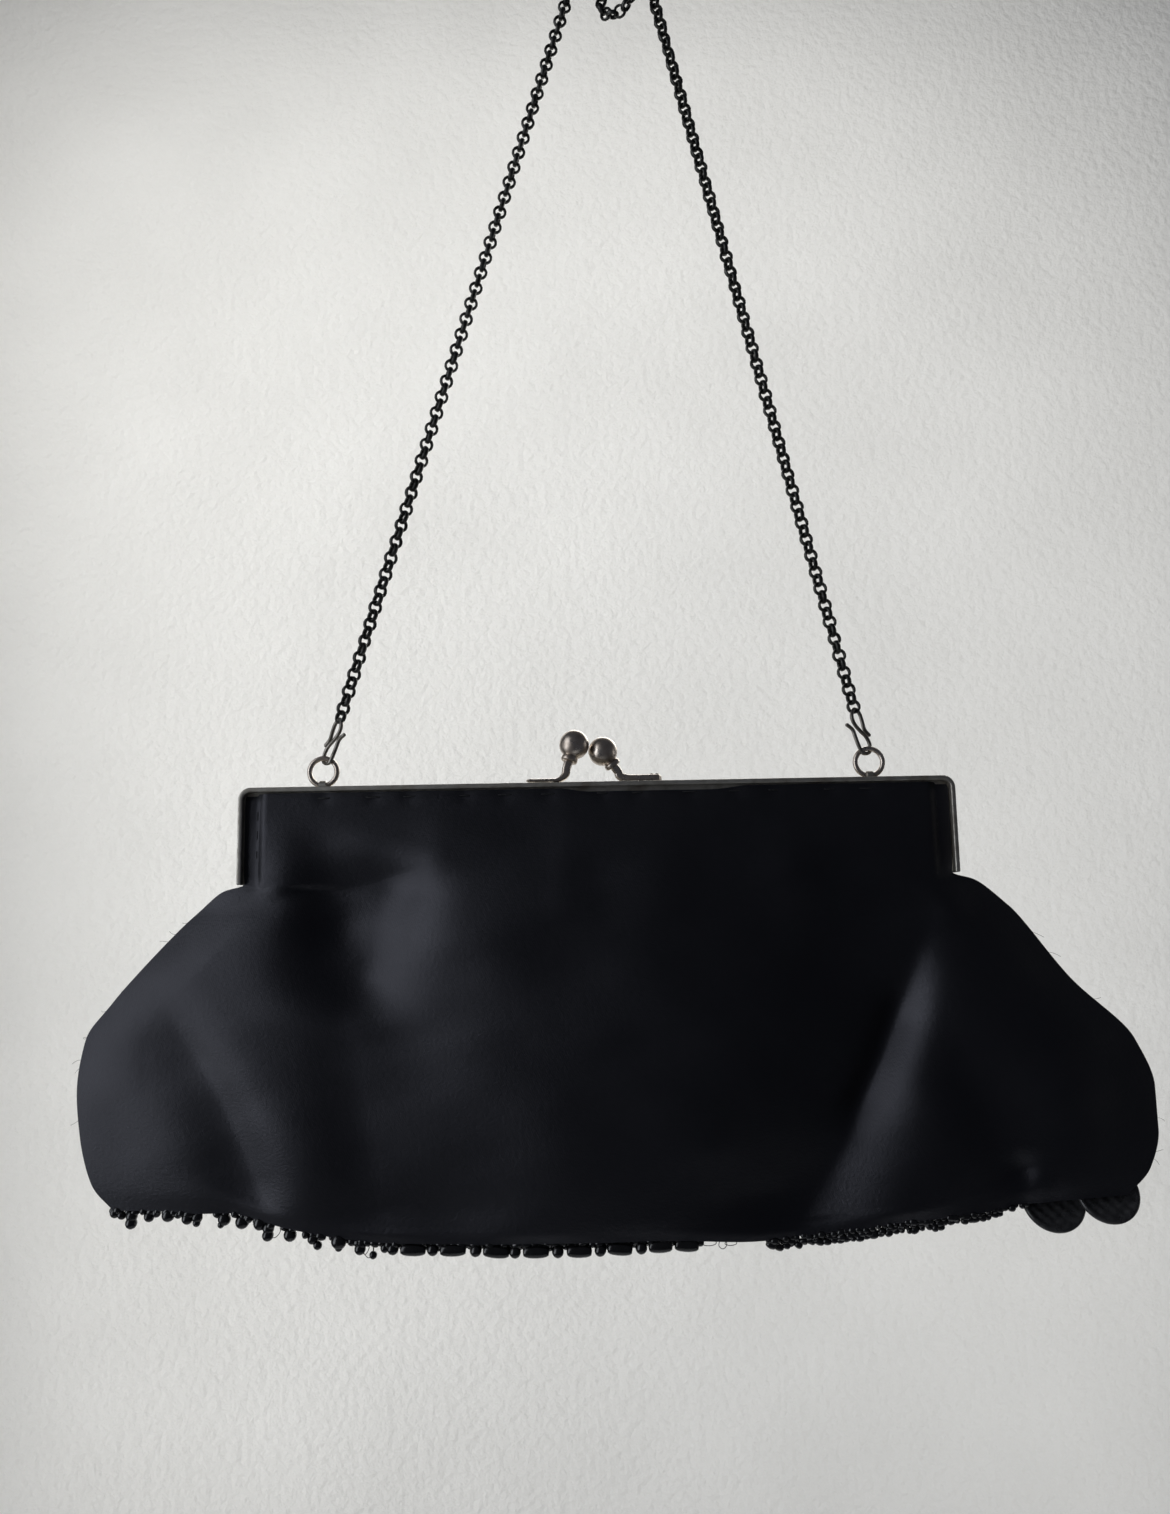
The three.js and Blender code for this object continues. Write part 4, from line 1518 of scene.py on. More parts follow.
@dataclass
class PurseFrame:
    """The two metal halves of the frame: a thin rim and the flange that the satin is sewn over."""

    shop: Workshop
    width: float = 200.0
    height: float = 26.6
    corner: float = 3.4
    rim: float = 1.3
    depth: float = 5.0
    gap: float = 0.3
    edge: float = 0.35
    flange_width: float = 7.0
    flange_thickness: float = 1.0
    flange_offset: float = 2.0
    lug_x: float = 76.8
    lug_radius: float = 1.5
    lug_length: float = 2.2
    lug_rise: float = 0.3
    lug_sides: int = 20
    lug_ease: float = 0.75
    corner_steps: int = 10
    arm_steps: int = 5
    straight_step: float = 6.0
    tightest: float = 0.8
    tip_shares: tuple[float, ...] = (0.0, 0.25, 0.6)
    corner_share: float = 0.8

    def arch(self, inset: float) -> Array:
        """The arch's line, from the foot of the left arm to the foot of the right.

        Args:
            inset: How far inside the outer edge it runs.

        Returns:
            Its points in the frame's plane.
        """
        half, radius = self.width / 2 - inset, max(self.corner - inset, self.tightest)
        top = -inset
        left = [(-half, z) for z in np.linspace(-self.height, top - radius, self.arm_steps)]
        turn = [(-half + radius - radius * math.cos(a), top - radius + radius * math.sin(a))
                for a in np.linspace(0, math.pi / 2, self.corner_steps + 1)[1:]]
        across = int((half - radius) / self.straight_step)
        bar = [(x, top) for x in np.linspace(-half + radius, 0, across)[1:]]
        line = np.array(left + turn + bar)
        mirrored = line[-2::-1] * (-1, 1)
        flat = np.vstack([line, mirrored])
        return np.stack([flat[:, 0], np.zeros(len(flat)), flat[:, 1]], axis=1)

    def band(self, parts: MeshParts, side: Side, inset: float, half_across: float, middle_y: float,
             half_deep: float) -> None:
        """Adds one band along the arch, with eased ends.

        Args:
            parts: What it is added to.
            side: The half it belongs to.
            inset: How far inside the outer edge its middle runs.
            half_across: Half its width, in the frame's plane.
            middle_y: How far its middle is from the seam plane.
            half_deep: Half its depth.
        """
        edge = self.edge
        path = self.arch(inset)
        path[:, 1] = side.value * middle_y
        tips = np.array(self.tip_shares)
        scale = np.ones((len(path) + 2 * len(tips), 2))
        first, last = path[0], path[-1]
        ease = edge * (1 - np.sqrt(1 - (1 - tips) ** 2))
        foot = np.array([first + (0, 0, -edge * (1 - t)) for t in tips])
        end = np.array([last + (0, 0, -edge * (1 - t)) for t in tips[::-1]])
        for i, cut in enumerate(ease):
            scale[i] = scale[-1 - i] = (1 - cut / half_across, 1 - cut / half_deep)
        corner = min(edge, half_across * self.corner_share, half_deep * self.corner_share)
        section = rounded_bar(half_across, half_deep, corner)
        parts.sweep(np.vstack([foot, path, end]), section, scale, ALONG_Y)

    def build(self) -> None:
        """Makes both halves."""
        for side, name, node in ((Side.BACK, "frame_back_metal", "frame_back"),
                                 (Side.FRONT, "frame_front_metal", "frame_front")):
            parts = MeshParts()
            self.band(parts, side, self.rim / 2, self.rim / 2, self.gap + self.depth / 2, self.depth / 2)
            self.band(parts, side, self.rim / 2 + self.flange_width / 2, self.flange_width / 2,
                      self.flange_offset + self.flange_thickness / 2, self.flange_thickness / 2)
            if side is Side.BACK:
                for end in End:
                    self.lug(parts, end)
            fit(dress(parts.to_object(name, self.shop.space), self.shop.rim), [node])

    def lug(self, parts: MeshParts, end: End) -> None:
        """Adds the small barrel that holds a chain ring.

        Args:
            parts: What it is added to.
            end: The end of the bag it is on.
        """
        half, radius, ease = self.lug_length / 2, self.lug_radius, self.lug_ease
        profile = np.array([(radius * ease, -half), (radius, -half * ease), (radius, half * ease),
                            (radius * ease, half)])
        place = Matrix.Translation((end.value * self.lug_x, -(self.gap + self.depth / 2), self.lug_rise))
        parts.turned(profile, self.lug_sides, place @ Matrix.Rotation(math.pi / 2, 4, "Y"))


@dataclass(frozen=True)
class Clasp:
    """One half of the ball clasp."""

    shop: Workshop
    name: str
    side: int
    foot_end: float
    foot_start: float
    neck: Two
    ball: Three
    ball_radius: float
    foot_thickness: float
    rivets: tuple[float, ...] = ()
    foot_width: float = 3.2
    rim_y: float = 2.8
    clear: float = 0.3
    collar_radius: float = 2.35
    collar_length: float = 1.6
    collar_edge: float = 0.42
    neck_radius: float = 1.95
    neck_gap: float = 0.12
    stem_radius: float = 1.2
    stem_start: float = 0.9
    stem_steps: int = 10
    flattens: Two = (0.18, 0.55)
    knee_share: float = 0.45
    heel_run: float = 0.9
    heel_rise: float = 0.12
    flat_run: float = 3.4
    toe_gap: float = 0.3
    toe_share: float = 0.95
    toe_span: float = 0.0501
    toe_least: float = 0.02
    toe_thin: float = 0.5
    bar_corner: float = 0.62
    ball_sides: int = 40
    ball_steps: int = 22
    ball_pole: float = 0.08
    rivet_head: tuple[Two, ...] = ((0.62, -0.1), (0.6, 0.12), (0.45, 0.3), (0.2, 0.38))
    rivet_sides: int = 16
    sharp: float = 50.0

    def build(self) -> None:
        """Makes the ball, collar, stem and foot."""
        parts = MeshParts()
        ball = np.array(self.ball)
        neck = np.array([self.neck[0], self.side * self.rim_y, self.neck[1]])
        lean = unit(ball - neck)
        turn = Vector(lean).to_track_quat("Z", "Y").to_matrix().to_4x4()
        parts.turned(self.ball_profile(), self.ball_sides, Matrix.Translation(ball) @ turn)
        self.stem(parts, ball - lean * (self.ball_radius + self.stem_start), neck)
        top = self.clear + self.foot_thickness
        for x in self.rivets:
            place = Matrix.Translation((x, self.side * self.rim_y, top))
            parts.turned(np.array(self.rivet_head), self.rivet_sides, place)
        piece = parts.to_object(f"{self.name}_metal", self.shop.space, self.sharp)
        fit(dress(piece, self.shop.fitting), [self.name])

    def ball_profile(self) -> Array:
        """The ball with its neck and collar, from the collar up, about the ball's centre.

        Returns:
            Radius and height of each ring.
        """
        radius = self.ball_radius
        start = math.asin(self.neck_radius / radius)
        angles = np.linspace(start, math.pi - self.ball_pole, self.ball_steps)
        sphere = [(radius * math.sin(a), -radius * math.cos(a)) for a in angles]
        top = -radius * math.cos(start) - self.neck_gap
        low = top - self.collar_length
        wide, edge = self.collar_radius, self.collar_edge
        collar = [(self.stem_radius * 0.8, low + 0.02), (wide - 1.5 * edge, low),
                  (wide - 0.7 * edge, low + 0.12 * edge), (wide - 0.2 * edge, low + 0.5 * edge),
                  (wide, low + edge), (wide, top - edge), (wide - 0.2 * edge, top - 0.5 * edge),
                  (wide - 0.7 * edge, top - 0.1 * edge), (self.neck_radius - 0.04, top + 0.02)]
        return np.array(collar + sphere)

    def stem(self, parts: MeshParts, top: Array, neck: Array) -> None:
        """Adds the stem and the foot as one bent bar.

        Args:
            parts: What it is added to.
            top: Where it meets the collar.
            neck: Where it bends towards the foot.
        """
        y = self.side * self.rim_y
        foot_z = self.clear + self.foot_thickness / 2
        toe = self.foot_end - self.side * self.toe_gap
        knee_z = self.knee_share * self.neck[1] + (1 - self.knee_share) * foot_z
        knee = ((self.foot_start + 2 * self.neck[0]) / 3, y, knee_z)
        heel = (self.foot_start + self.side * self.heel_run, y, foot_z + self.heel_rise)
        flat_from = (self.foot_start + self.side * self.flat_run, y, foot_z)
        path = smooth_path([top, neck, knee, heel, flat_from, (toe, y, foot_z)], self.stem_steps)
        share = np.concatenate([[0.0], np.cumsum(np.linalg.norm(np.diff(path, axis=0), axis=1))])
        share /= share[-1]
        flat = smooth_step(share, *self.flattens)
        thick = self.stem_radius + (self.foot_thickness / 2 - self.stem_radius) * flat
        wide = self.stem_radius + (self.foot_width / 2 - self.stem_radius) * flat
        past = np.clip(share - self.toe_share, 0, None) / self.toe_span
        round_toe = np.sqrt(np.clip(1 - past**2, self.toe_least, 1))
        scale = np.stack([thick * np.maximum(round_toe, self.toe_thin), wide * round_toe], axis=1)
        section = rounded_bar(1.0, 1.0, self.bar_corner, 4)
        parts.sweep(path, section, scale, ALONG_Y)


@dataclass(frozen=True)
class ChainHanger:
    """The rings, S-hooks and chain, up to the peg, once round it and down again."""

    shop: Workshop
    touch: float = 0.04
    ring_x: float = 76.8
    ring_y: float = -2.8
    ring_z: float = 4.3
    ring_radius: float = 3.85
    ring_wire: float = 0.72
    hook_wire: float = 0.55
    hook_turns: Two = (132.0, 38.0)
    hook_points: tuple[Two, ...] = (
        (3.4, 5.1), (2.0, 6.9), (2.0, 9.3), (1.7, 11.7), (0.0, 13.1), (-1.8, 11.5), (-2.0, 9.8), (-1.4, 8.3),
        (0.1, 6.5), (1.9, 4.6), (2.5, 2.4), (1.7, 0.4), (0.0, 0.0), (-1.7, 0.4), (-2.4, 2.4), (-2.8, 4.8),
        (-3.2, 7.3), (-5.0, 8.8))
    link_radius: float = 1.7
    link_wire: float = 0.42
    link_width: float = 0.70
    pitch: float = 2.55
    peg_x: float = 10.7
    peg_z: float = 274.0
    turn_radius: float = 6.0
    turn_spread: float = 2.3
    slack_radius: float = 4.3
    slack_drop: float = 28.3
    twists: tuple[Two, ...] = (
        (0, 45), (0.1, 36), (0.22, 10), (0.46, 0), (0.56, 30), (0.8, 40), (1, 45))
    link_play: float = 0.14
    seed: int = 7
    ring_steps: int = 56
    ring_sides: int = 14
    hook_steps: int = 6
    hook_sides: int = 12
    strand_steps: int = 60
    slack_steps: int = 12
    turn_steps: int = 24

    def strand(self, end: End) -> tuple[Array, float, float]:
        """A strand's foot, its lean from upright and its length to the peg.

        Args:
            end: Which strand.

        Returns:
            The foot in the XZ plane, the lean in radians and the length.
        """
        foot = np.array([end.value * self.ring_x, self.ring_z])
        to_peg = np.array([self.peg_x, self.peg_z]) - foot
        far = float(np.linalg.norm(to_peg))
        lean = math.atan2(to_peg[0], to_peg[1]) + end.value * math.asin(self.turn_radius / far)
        return foot, lean, math.sqrt(far**2 - self.turn_radius**2)

    def on_strand(self, end: End, up: float, y: float | None = None) -> Array:
        """A point on a strand.

        Args:
            end: Which strand.
            up: How far up from the ring's centre.
            y: Its depth, if not the ring's.

        Returns:
            The point.
        """
        foot, lean, _ = self.strand(end)
        depth = self.ring_y if y is None else y
        return np.array([foot[0] + up * math.sin(lean), depth, foot[1] + up * math.cos(lean)])

    @property
    def hook_seat(self) -> float:
        """How far up the strand the hook's lower loop rests."""
        return self.ring_radius - (self.ring_wire + self.hook_wire + self.touch)

    @property
    def link_seat(self) -> float:
        """How far up the strand the first link's middle is."""
        top = self.hook_seat + max(z for _, z in self.hook_points)
        return top - (self.hook_wire + self.link_wire + self.touch) + self.link_radius

    def route(self) -> Array:
        """The chain's middle line, from the left end link to the right.

        Returns:
            Its points.
        """
        slack_z = self.peg_z - self.slack_drop
        spread, turn, slack = self.turn_spread, self.turn_radius, self.slack_radius
        first = self.on_strand(End.LEFT, self.strand(End.LEFT)[2], -spread)
        last = self.on_strand(End.RIGHT, self.strand(End.RIGHT)[2], spread)
        angles = [math.atan2(p[2] - self.peg_z, p[0] - self.peg_x) for p in (first, last)]

        def arc(z: float, radius: float, start: float, stop: float, y0: float, y1: float) -> Array:
            """Points of one turn, moving along Y as it goes.

            Args:
                z: The turn's middle height.
                radius: Its radius.
                start: Its first angle.
                stop: Its last angle.
                y0: Its depth at the start.
                y1: Its depth at the end.

            Returns:
                The points.
            """
            share = np.linspace(0, 1, self.turn_steps + 1)[:-1]
            angle = start + (stop - start) * share
            ease = share * share * (3 - 2 * share)
            return np.stack([self.peg_x + radius * np.cos(angle), y0 + (y1 - y0) * ease,
                             z + radius * np.sin(angle)], axis=1)

        def line(start: Array, stop: Array, steps: int) -> Array:
            """Points of one straight run."""
            return start + (stop - start) * np.linspace(0, 1, steps, endpoint=False)[:, None]

        peg_x, peg_z = self.peg_x, self.peg_z
        end = self.on_strand(End.RIGHT, self.link_seat)
        return np.vstack([
            line(self.on_strand(End.LEFT, self.link_seat), first, self.strand_steps),
            arc(peg_z, turn, angles[0], 0, -spread, -spread),
            line(np.array([peg_x + turn, -spread, peg_z]), np.array([peg_x + slack, -spread, slack_z]),
                 self.slack_steps),
            arc(slack_z, slack, 0, -math.pi, -spread, spread),
            line(np.array([peg_x - slack, spread, slack_z]), np.array([peg_x - turn, spread, peg_z]),
                 self.slack_steps),
            arc(peg_z, turn, math.pi, angles[1], spread, spread),
            line(last, end, self.strand_steps), end[None],
        ])

    def build(self) -> None:
        """Makes the rings, the hooks and the chain."""
        for end in End:
            self.ring(end)
            self.hook(end)
        self.links()

    def ring(self, end: End) -> None:
        """Makes one ring of round wire.

        Args:
            end: The end of the bag it is on.
        """
        parts = MeshParts()
        ring = circle(self.ring_steps) * self.ring_radius
        path = np.stack([end.value * self.ring_x + ring[:, 0], np.full(self.ring_steps, self.ring_y),
                         self.ring_z + ring[:, 1]], axis=1)
        parts.wire(path, self.ring_wire, self.ring_sides, ALONG_Y, closed=True)
        name = f"ring_{end.name.lower()}"
        fit(dress(parts.to_object(f"{name}_wire", self.shop.space), self.shop.fitting), [name])

    def hook(self, end: End) -> None:
        """Makes one S-hook, bent from wire.

        Args:
            end: The end of the bag it is on.
        """
        points = [(x, 0.0, z) for x, z in self.hook_points]
        _, lean, _ = self.strand(end)
        facing = math.radians(self.hook_turns[0 if end is End.LEFT else 1])
        turn = Matrix.Rotation(lean, 3, "Y") @ Matrix.Rotation(facing, 3, "Z")
        path = smooth_path(points, self.hook_steps) @ np.array(turn).T + self.on_strand(end, self.hook_seat)
        parts = MeshParts()
        parts.wire(path, self.hook_wire, self.hook_sides, np.array(turn @ Vector((0, 1, 0))))
        name = f"s_hook_{end.name.lower()}"
        fit(dress(parts.to_object(f"{name}_wire", self.shop.space), self.shop.hook), [name])

    def links(self) -> None:
        """Makes the chain's links along its route."""
        route = self.route()
        run = np.concatenate([[0.0], np.cumsum(np.linalg.norm(np.diff(route, axis=0), axis=1))])
        mesh = line_mesh("chain_links", [self.shop.space.array(route)])
        twist = np.radians(np.interp(run / run[-1], *np.array(self.twists, float).T))
        mesh.attributes.new("twist", "FLOAT", "POINT").data.foreach_set("value", twist.astype(np.float32))
        count = int(round(run[-1] / self.pitch)) + 1
        section = (self.link_wire * MM, self.link_width * MM, 1.0)
        values = {"Link Count": count, "Link Radius": self.link_radius * MM, "Wire Section": section,
                  "Play": self.link_play, "Seed": self.seed, "Material": self.shop.gunmetal}
        piece = realised("chain_links", mesh, self.shop.trees.links, values)
        fit(piece, ["chain", "end_link_left", "end_link_right"])
        log.info("chain: %d links, %.0f mm long", count, run[-1])


@dataclass
class FrameStitches:
    """The running stitches that hold the satin to the frame."""

    shop: Workshop
    panels: Sequence[SatinPanel]
    shape: BeadShape = BeadShape(0.24, 3.5, 0.4, 8, 7)
    arm_x: float = 94.8
    arm_pitch: float = 5.4
    arm_top: float = -8.0
    arm_foot: float = -24.0
    top_lift: float = 0.12
    arm_lift: float = 0.05
    top_sway: float = 0.06
    arm_sway: float = 0.08
    top_stretch: float = 0.2
    arm_stretch: float = 0.1
    top_beats: Two = (3.1, 1.7)
    arm_beats: Two = (2.9, 2.2)
    arm_size: Two = (0.7, 0.72)

    def build(self) -> None:
        """Makes the stitches of both panels."""
        places, ways, sizes = [], [], []
        for panel in self.panels:
            for i, x in enumerate(panel.stitch_places()):
                place, _ = panel.rest(x, panel.stitch_z, self.top_lift)
                places.append(place)
                ways.append((1.0, 0.0, self.top_sway * math.sin(self.top_beats[0] * i)))
                sizes.append((1.0, 1.0, 1.0 + self.top_stretch * math.sin(self.top_beats[1] * i)))
            for end in End:
                for i, z in enumerate(np.arange(self.arm_top, self.arm_foot, -self.arm_pitch)):
                    place, _ = panel.rest(end.value * self.arm_x, z, self.arm_lift)
                    places.append(place)
                    ways.append((self.arm_sway * math.sin(self.arm_beats[0] * i), 0.0, 1.0))
                    thick, long = self.arm_size
                    sizes.append((thick, thick, long + self.arm_stretch * math.sin(self.arm_beats[1] * i)))
        piece = self.shop.beads("frame_stitches", places, ways, self.shape, self.shop.thread, sizes)
        fit(piece)


def rows_of(kind: type, rows: Iterable[Sequence[float]]) -> tuple[Any, ...]:
    """A table's rows of numbers, with the names of their columns."""
    return tuple(kind(*row) for row in rows)


class HemBead(NamedTuple):
    """One bead under the hem: its place along the bag, how far it hangs below the hem and its width."""

    x: float
    drop: float
    width: float


class SeedRun(NamedTuple):
    """A run of small beads along the hem: its ends, pitch, drop, place behind the satin's edge and size."""

    start: float
    stop: float
    pitch: float
    drop: float
    behind: float
    grow: float


class ThreadLoop(NamedTuple):
    """A loose loop of thread under the hem: its place along the bag, its drop and its width."""

    x: float
    drop: float
    width: float


@dataclass
class HemBeads:
    """The beads along the hem, with their thread loops."""

    shop: Workshop
    panel: SatinPanel
    behind: float = 0.6
    left: tuple[HemBead, ...] = rows_of(HemBead, (
        (-132.4, 0.8, 2.9), (-130.4, 1.3, 2.6), (-127.6, 3.4, 3.3), (-127.5, 1.6, 3.3),
        (-122.5, 1.8, 2.9), (-120.4, 0.7, 2.6), (-117.0, 1.1, 3.7), (-114.3, 0.8, 2.3),
        (-111.7, 1.7, 3.2), (-109.0, 1.2, 2.9), (-109.1, 2.6, 2.2), (-101.5, 1.7, 3.6),
        (-102.4, 3.2, 1.9), (-96.6, 1.9, 3.9), (-95.1, 0.6, 2.9), (-91.7, 0.9, 3.9), (-89.5, 3.4, 3.2),
        (-89.4, 1.6, 3.3), (-83.3, 1.7, 3.6), (-77.2, 1.5, 3.0), (-75.9, 2.9, 2.5), (-70.3, 1.0, 4.4),
        (-70.3, 2.7, 2.1), (-64.7, 2.3, 3.2), (-64.3, 0.7, 3.2), (-61.2, 3.5, 2.2), (-58.1, 1.5, 2.6),
        (-56.0, 1.6, 3.3),
    ))
    rounds: tuple[HemBead, ...] = rows_of(HemBead, (
        (-45.4, 1.7, 3.3), (-34.0, 1.8, 3.3), (-23.7, 2.2, 3.3), (-12.5, 2.3, 3.3), (-1.4, 2.1, 3.3),
        (9.3, 1.9, 3.3),
    ))
    barrels: tuple[HemBead, ...] = rows_of(HemBead, (
        (-50.6, 1.7, 6.9), (-40.0, 1.7, 7.0), (-28.6, 2.0, 7.1), (-18.2, 2.2, 7.0), (-6.9, 2.2, 6.7),
        (3.7, 1.9, 6.7), (14.3, 1.6, 6.4), (21.2, 1.3, 6.5),
    ))
    runs: tuple[SeedRun, ...] = rows_of(SeedRun, (
        (-133.0, -108.0, 2.2, 0.35, 0.3, 1.15), (-103.5, -100.5, 2.0, 0.3, 0.3, 1.1),
        (-98.4, -87.6, 2.0, 0.3, 0.3, 1.2), (-84.8, -81.8, 1.9, 0.3, 0.4, 1.0),
        (-79.0, -74.6, 2.0, 0.35, 0.3, 1.1), (-72.4, -68.4, 1.9, 0.3, 0.4, 1.0),
        (-67.0, -54.0, 2.0, 0.45, 0.5, 1.1), (-55.0, 25.0, 1.9, 0.1, 1.0, 1.4),
        (-54.5, 24.5, 2.1, 0.9, 2.0, 1.3), (43.0, 114.0, 1.6, 0.3, 0.0, 0.95),
        (44.0, 106.0, 1.7, 1.3, 0.8, 1.05), (46.0, 90.0, 1.8, 2.3, 1.1, 1.05),
    ))
    loops: tuple[ThreadLoop, ...] = rows_of(ThreadLoop, (
        (-62.4, 4.4, 2.2), (-63.4, 3.6, 1.8), (-87.8, 3.6, 2.8), (-101.8, 2.8, 1.5), (27.2, 1.4, 2.9),
        (30.8, 2.1, 1.6), (33.0, 1.2, 2.4), (-108.3, 2.4, 1.2),
    ))
    barrel: BeadShape = BeadShape(1.7, 6.6, 0.42, 14, 9)
    ball: BeadShape = BeadShape(0.5, 1.0, 1.0, 14, 9)
    seed: BeadShape = BeadShape(0.95, 1.7, 0.7, 9, 7)
    flatness: float = 0.94
    ball_sway: Two = (0.3, 0.5)
    ball_beats: Two = (2.7, 1.9)
    barrel_sway: float = 0.06
    barrel_beat: float = 2.3
    barrel_dip: float = 0.03
    stray: float = 0.3
    seed_lean: Two = (0.5, 0.6)
    seed_grow: Two = (0.85, 1.15)
    seed_long: Two = (0.9, 1.5)
    thread: float = 0.1
    draw_seed: int = 5

    def hem(self, x: float) -> Array:
        """A place on the hem, between the two panels.

        Args:
            x: The place along the bag.

        Returns:
            The point on the hem there.
        """
        edge = self.panel.grid[-1]
        order = np.argsort(edge[:, 0])
        y, z = (float(np.interp(x, edge[order, 0], edge[order, k])) for k in (1, 2))
        return np.array([x, y - self.panel.level("ends", np.array(1.0)), z])

    def hung(self, beads: Sequence[HemBead]) -> Array:
        """Where beads hang below the hem."""
        return np.array([self.hem(b.x) + (0.0, self.behind, -b.drop) for b in beads])

    def build(self) -> None:
        """Makes the beads and the threads."""
        balls = self.left + self.rounds
        sizes = [(b.width, b.width, b.width * self.flatness) for b in balls]
        ways = [(1.0, *(sway * math.sin(beat * i) for sway, beat in zip(self.ball_sway, self.ball_beats)))
                for i in range(len(balls))]
        piece = self.shop.beads("hem_round_beads", self.hung(balls), ways, self.ball, self.shop.jet, sizes)
        fit(piece, ["hem_beads"])
        places = self.hung(self.barrels)
        sizes = [(1.0, 1.0, b.width / self.barrel.length) for b in self.barrels]
        ways = [(1.0, 0.0, self.barrel_sway * math.sin(self.barrel_beat * i) - self.barrel_dip)
                for i in range(len(self.barrels))]
        piece = self.shop.beads("hem_barrel_beads", places, ways, self.barrel, self.shop.jet, sizes)
        fit(piece, ["hem_beads"])
        self.edging()
        self.threads()

    def edging(self) -> None:
        """Makes the runs of small beads along the hem."""
        draw = np.random.default_rng(self.draw_seed)
        places, ways, sizes = [], [], []
        for run in self.runs:
            for x in np.arange(run.start, run.stop, run.pitch):
                shift = draw.uniform(-self.stray, self.stray, 3)
                places.append(self.hem(x) + (0.0, run.behind, -run.drop) + shift)
                ways.append((1.0, *(draw.uniform(-lean, lean) for lean in self.seed_lean)))
                grown = run.grow * draw.uniform(*self.seed_grow)
                sizes.append((grown, grown, grown * draw.uniform(*self.seed_long)))
        fit(self.shop.beads("hem_seed_beads", places, ways, self.seed, self.shop.jet, sizes))

    def threads(self) -> None:
        """Makes the threads that the beads hang on, and the loose loops."""
        lines = []
        beads = self.left + self.rounds
        for bead, place in zip(beads, self.hung(beads)):
            top = self.hem(bead.x) + (-0.5, 0.2, 0.6)
            lines.append(smooth_path([top, (top + place) / 2 + (0.2, 0.2, 0.0), place], 5))
        for loop in self.loops:
            top = self.hem(loop.x)
            half, drop = loop.width / 2, loop.drop
            way = [(-half, 0.2, 0.4), (-1.3 * half, 0.5, -0.6 * drop), (0, 0.8, -drop),
                   (1.2 * half, 0.5, -0.55 * drop), (half, 0.2, 0.4)]
            lines.append(top + smooth_path(way, 7))
        fit(self.shop.thread_lines("hem_threads", lines, self.thread))


class DiscRow(NamedTuple):
    """One row of discs on the front: how many, how far down and how far across."""

    count: int
    down: float
    spread: float


class HemDisc(NamedTuple):
    """One disc that hangs over the hem."""

    x: float
    y: float
    z: float
    lean: float


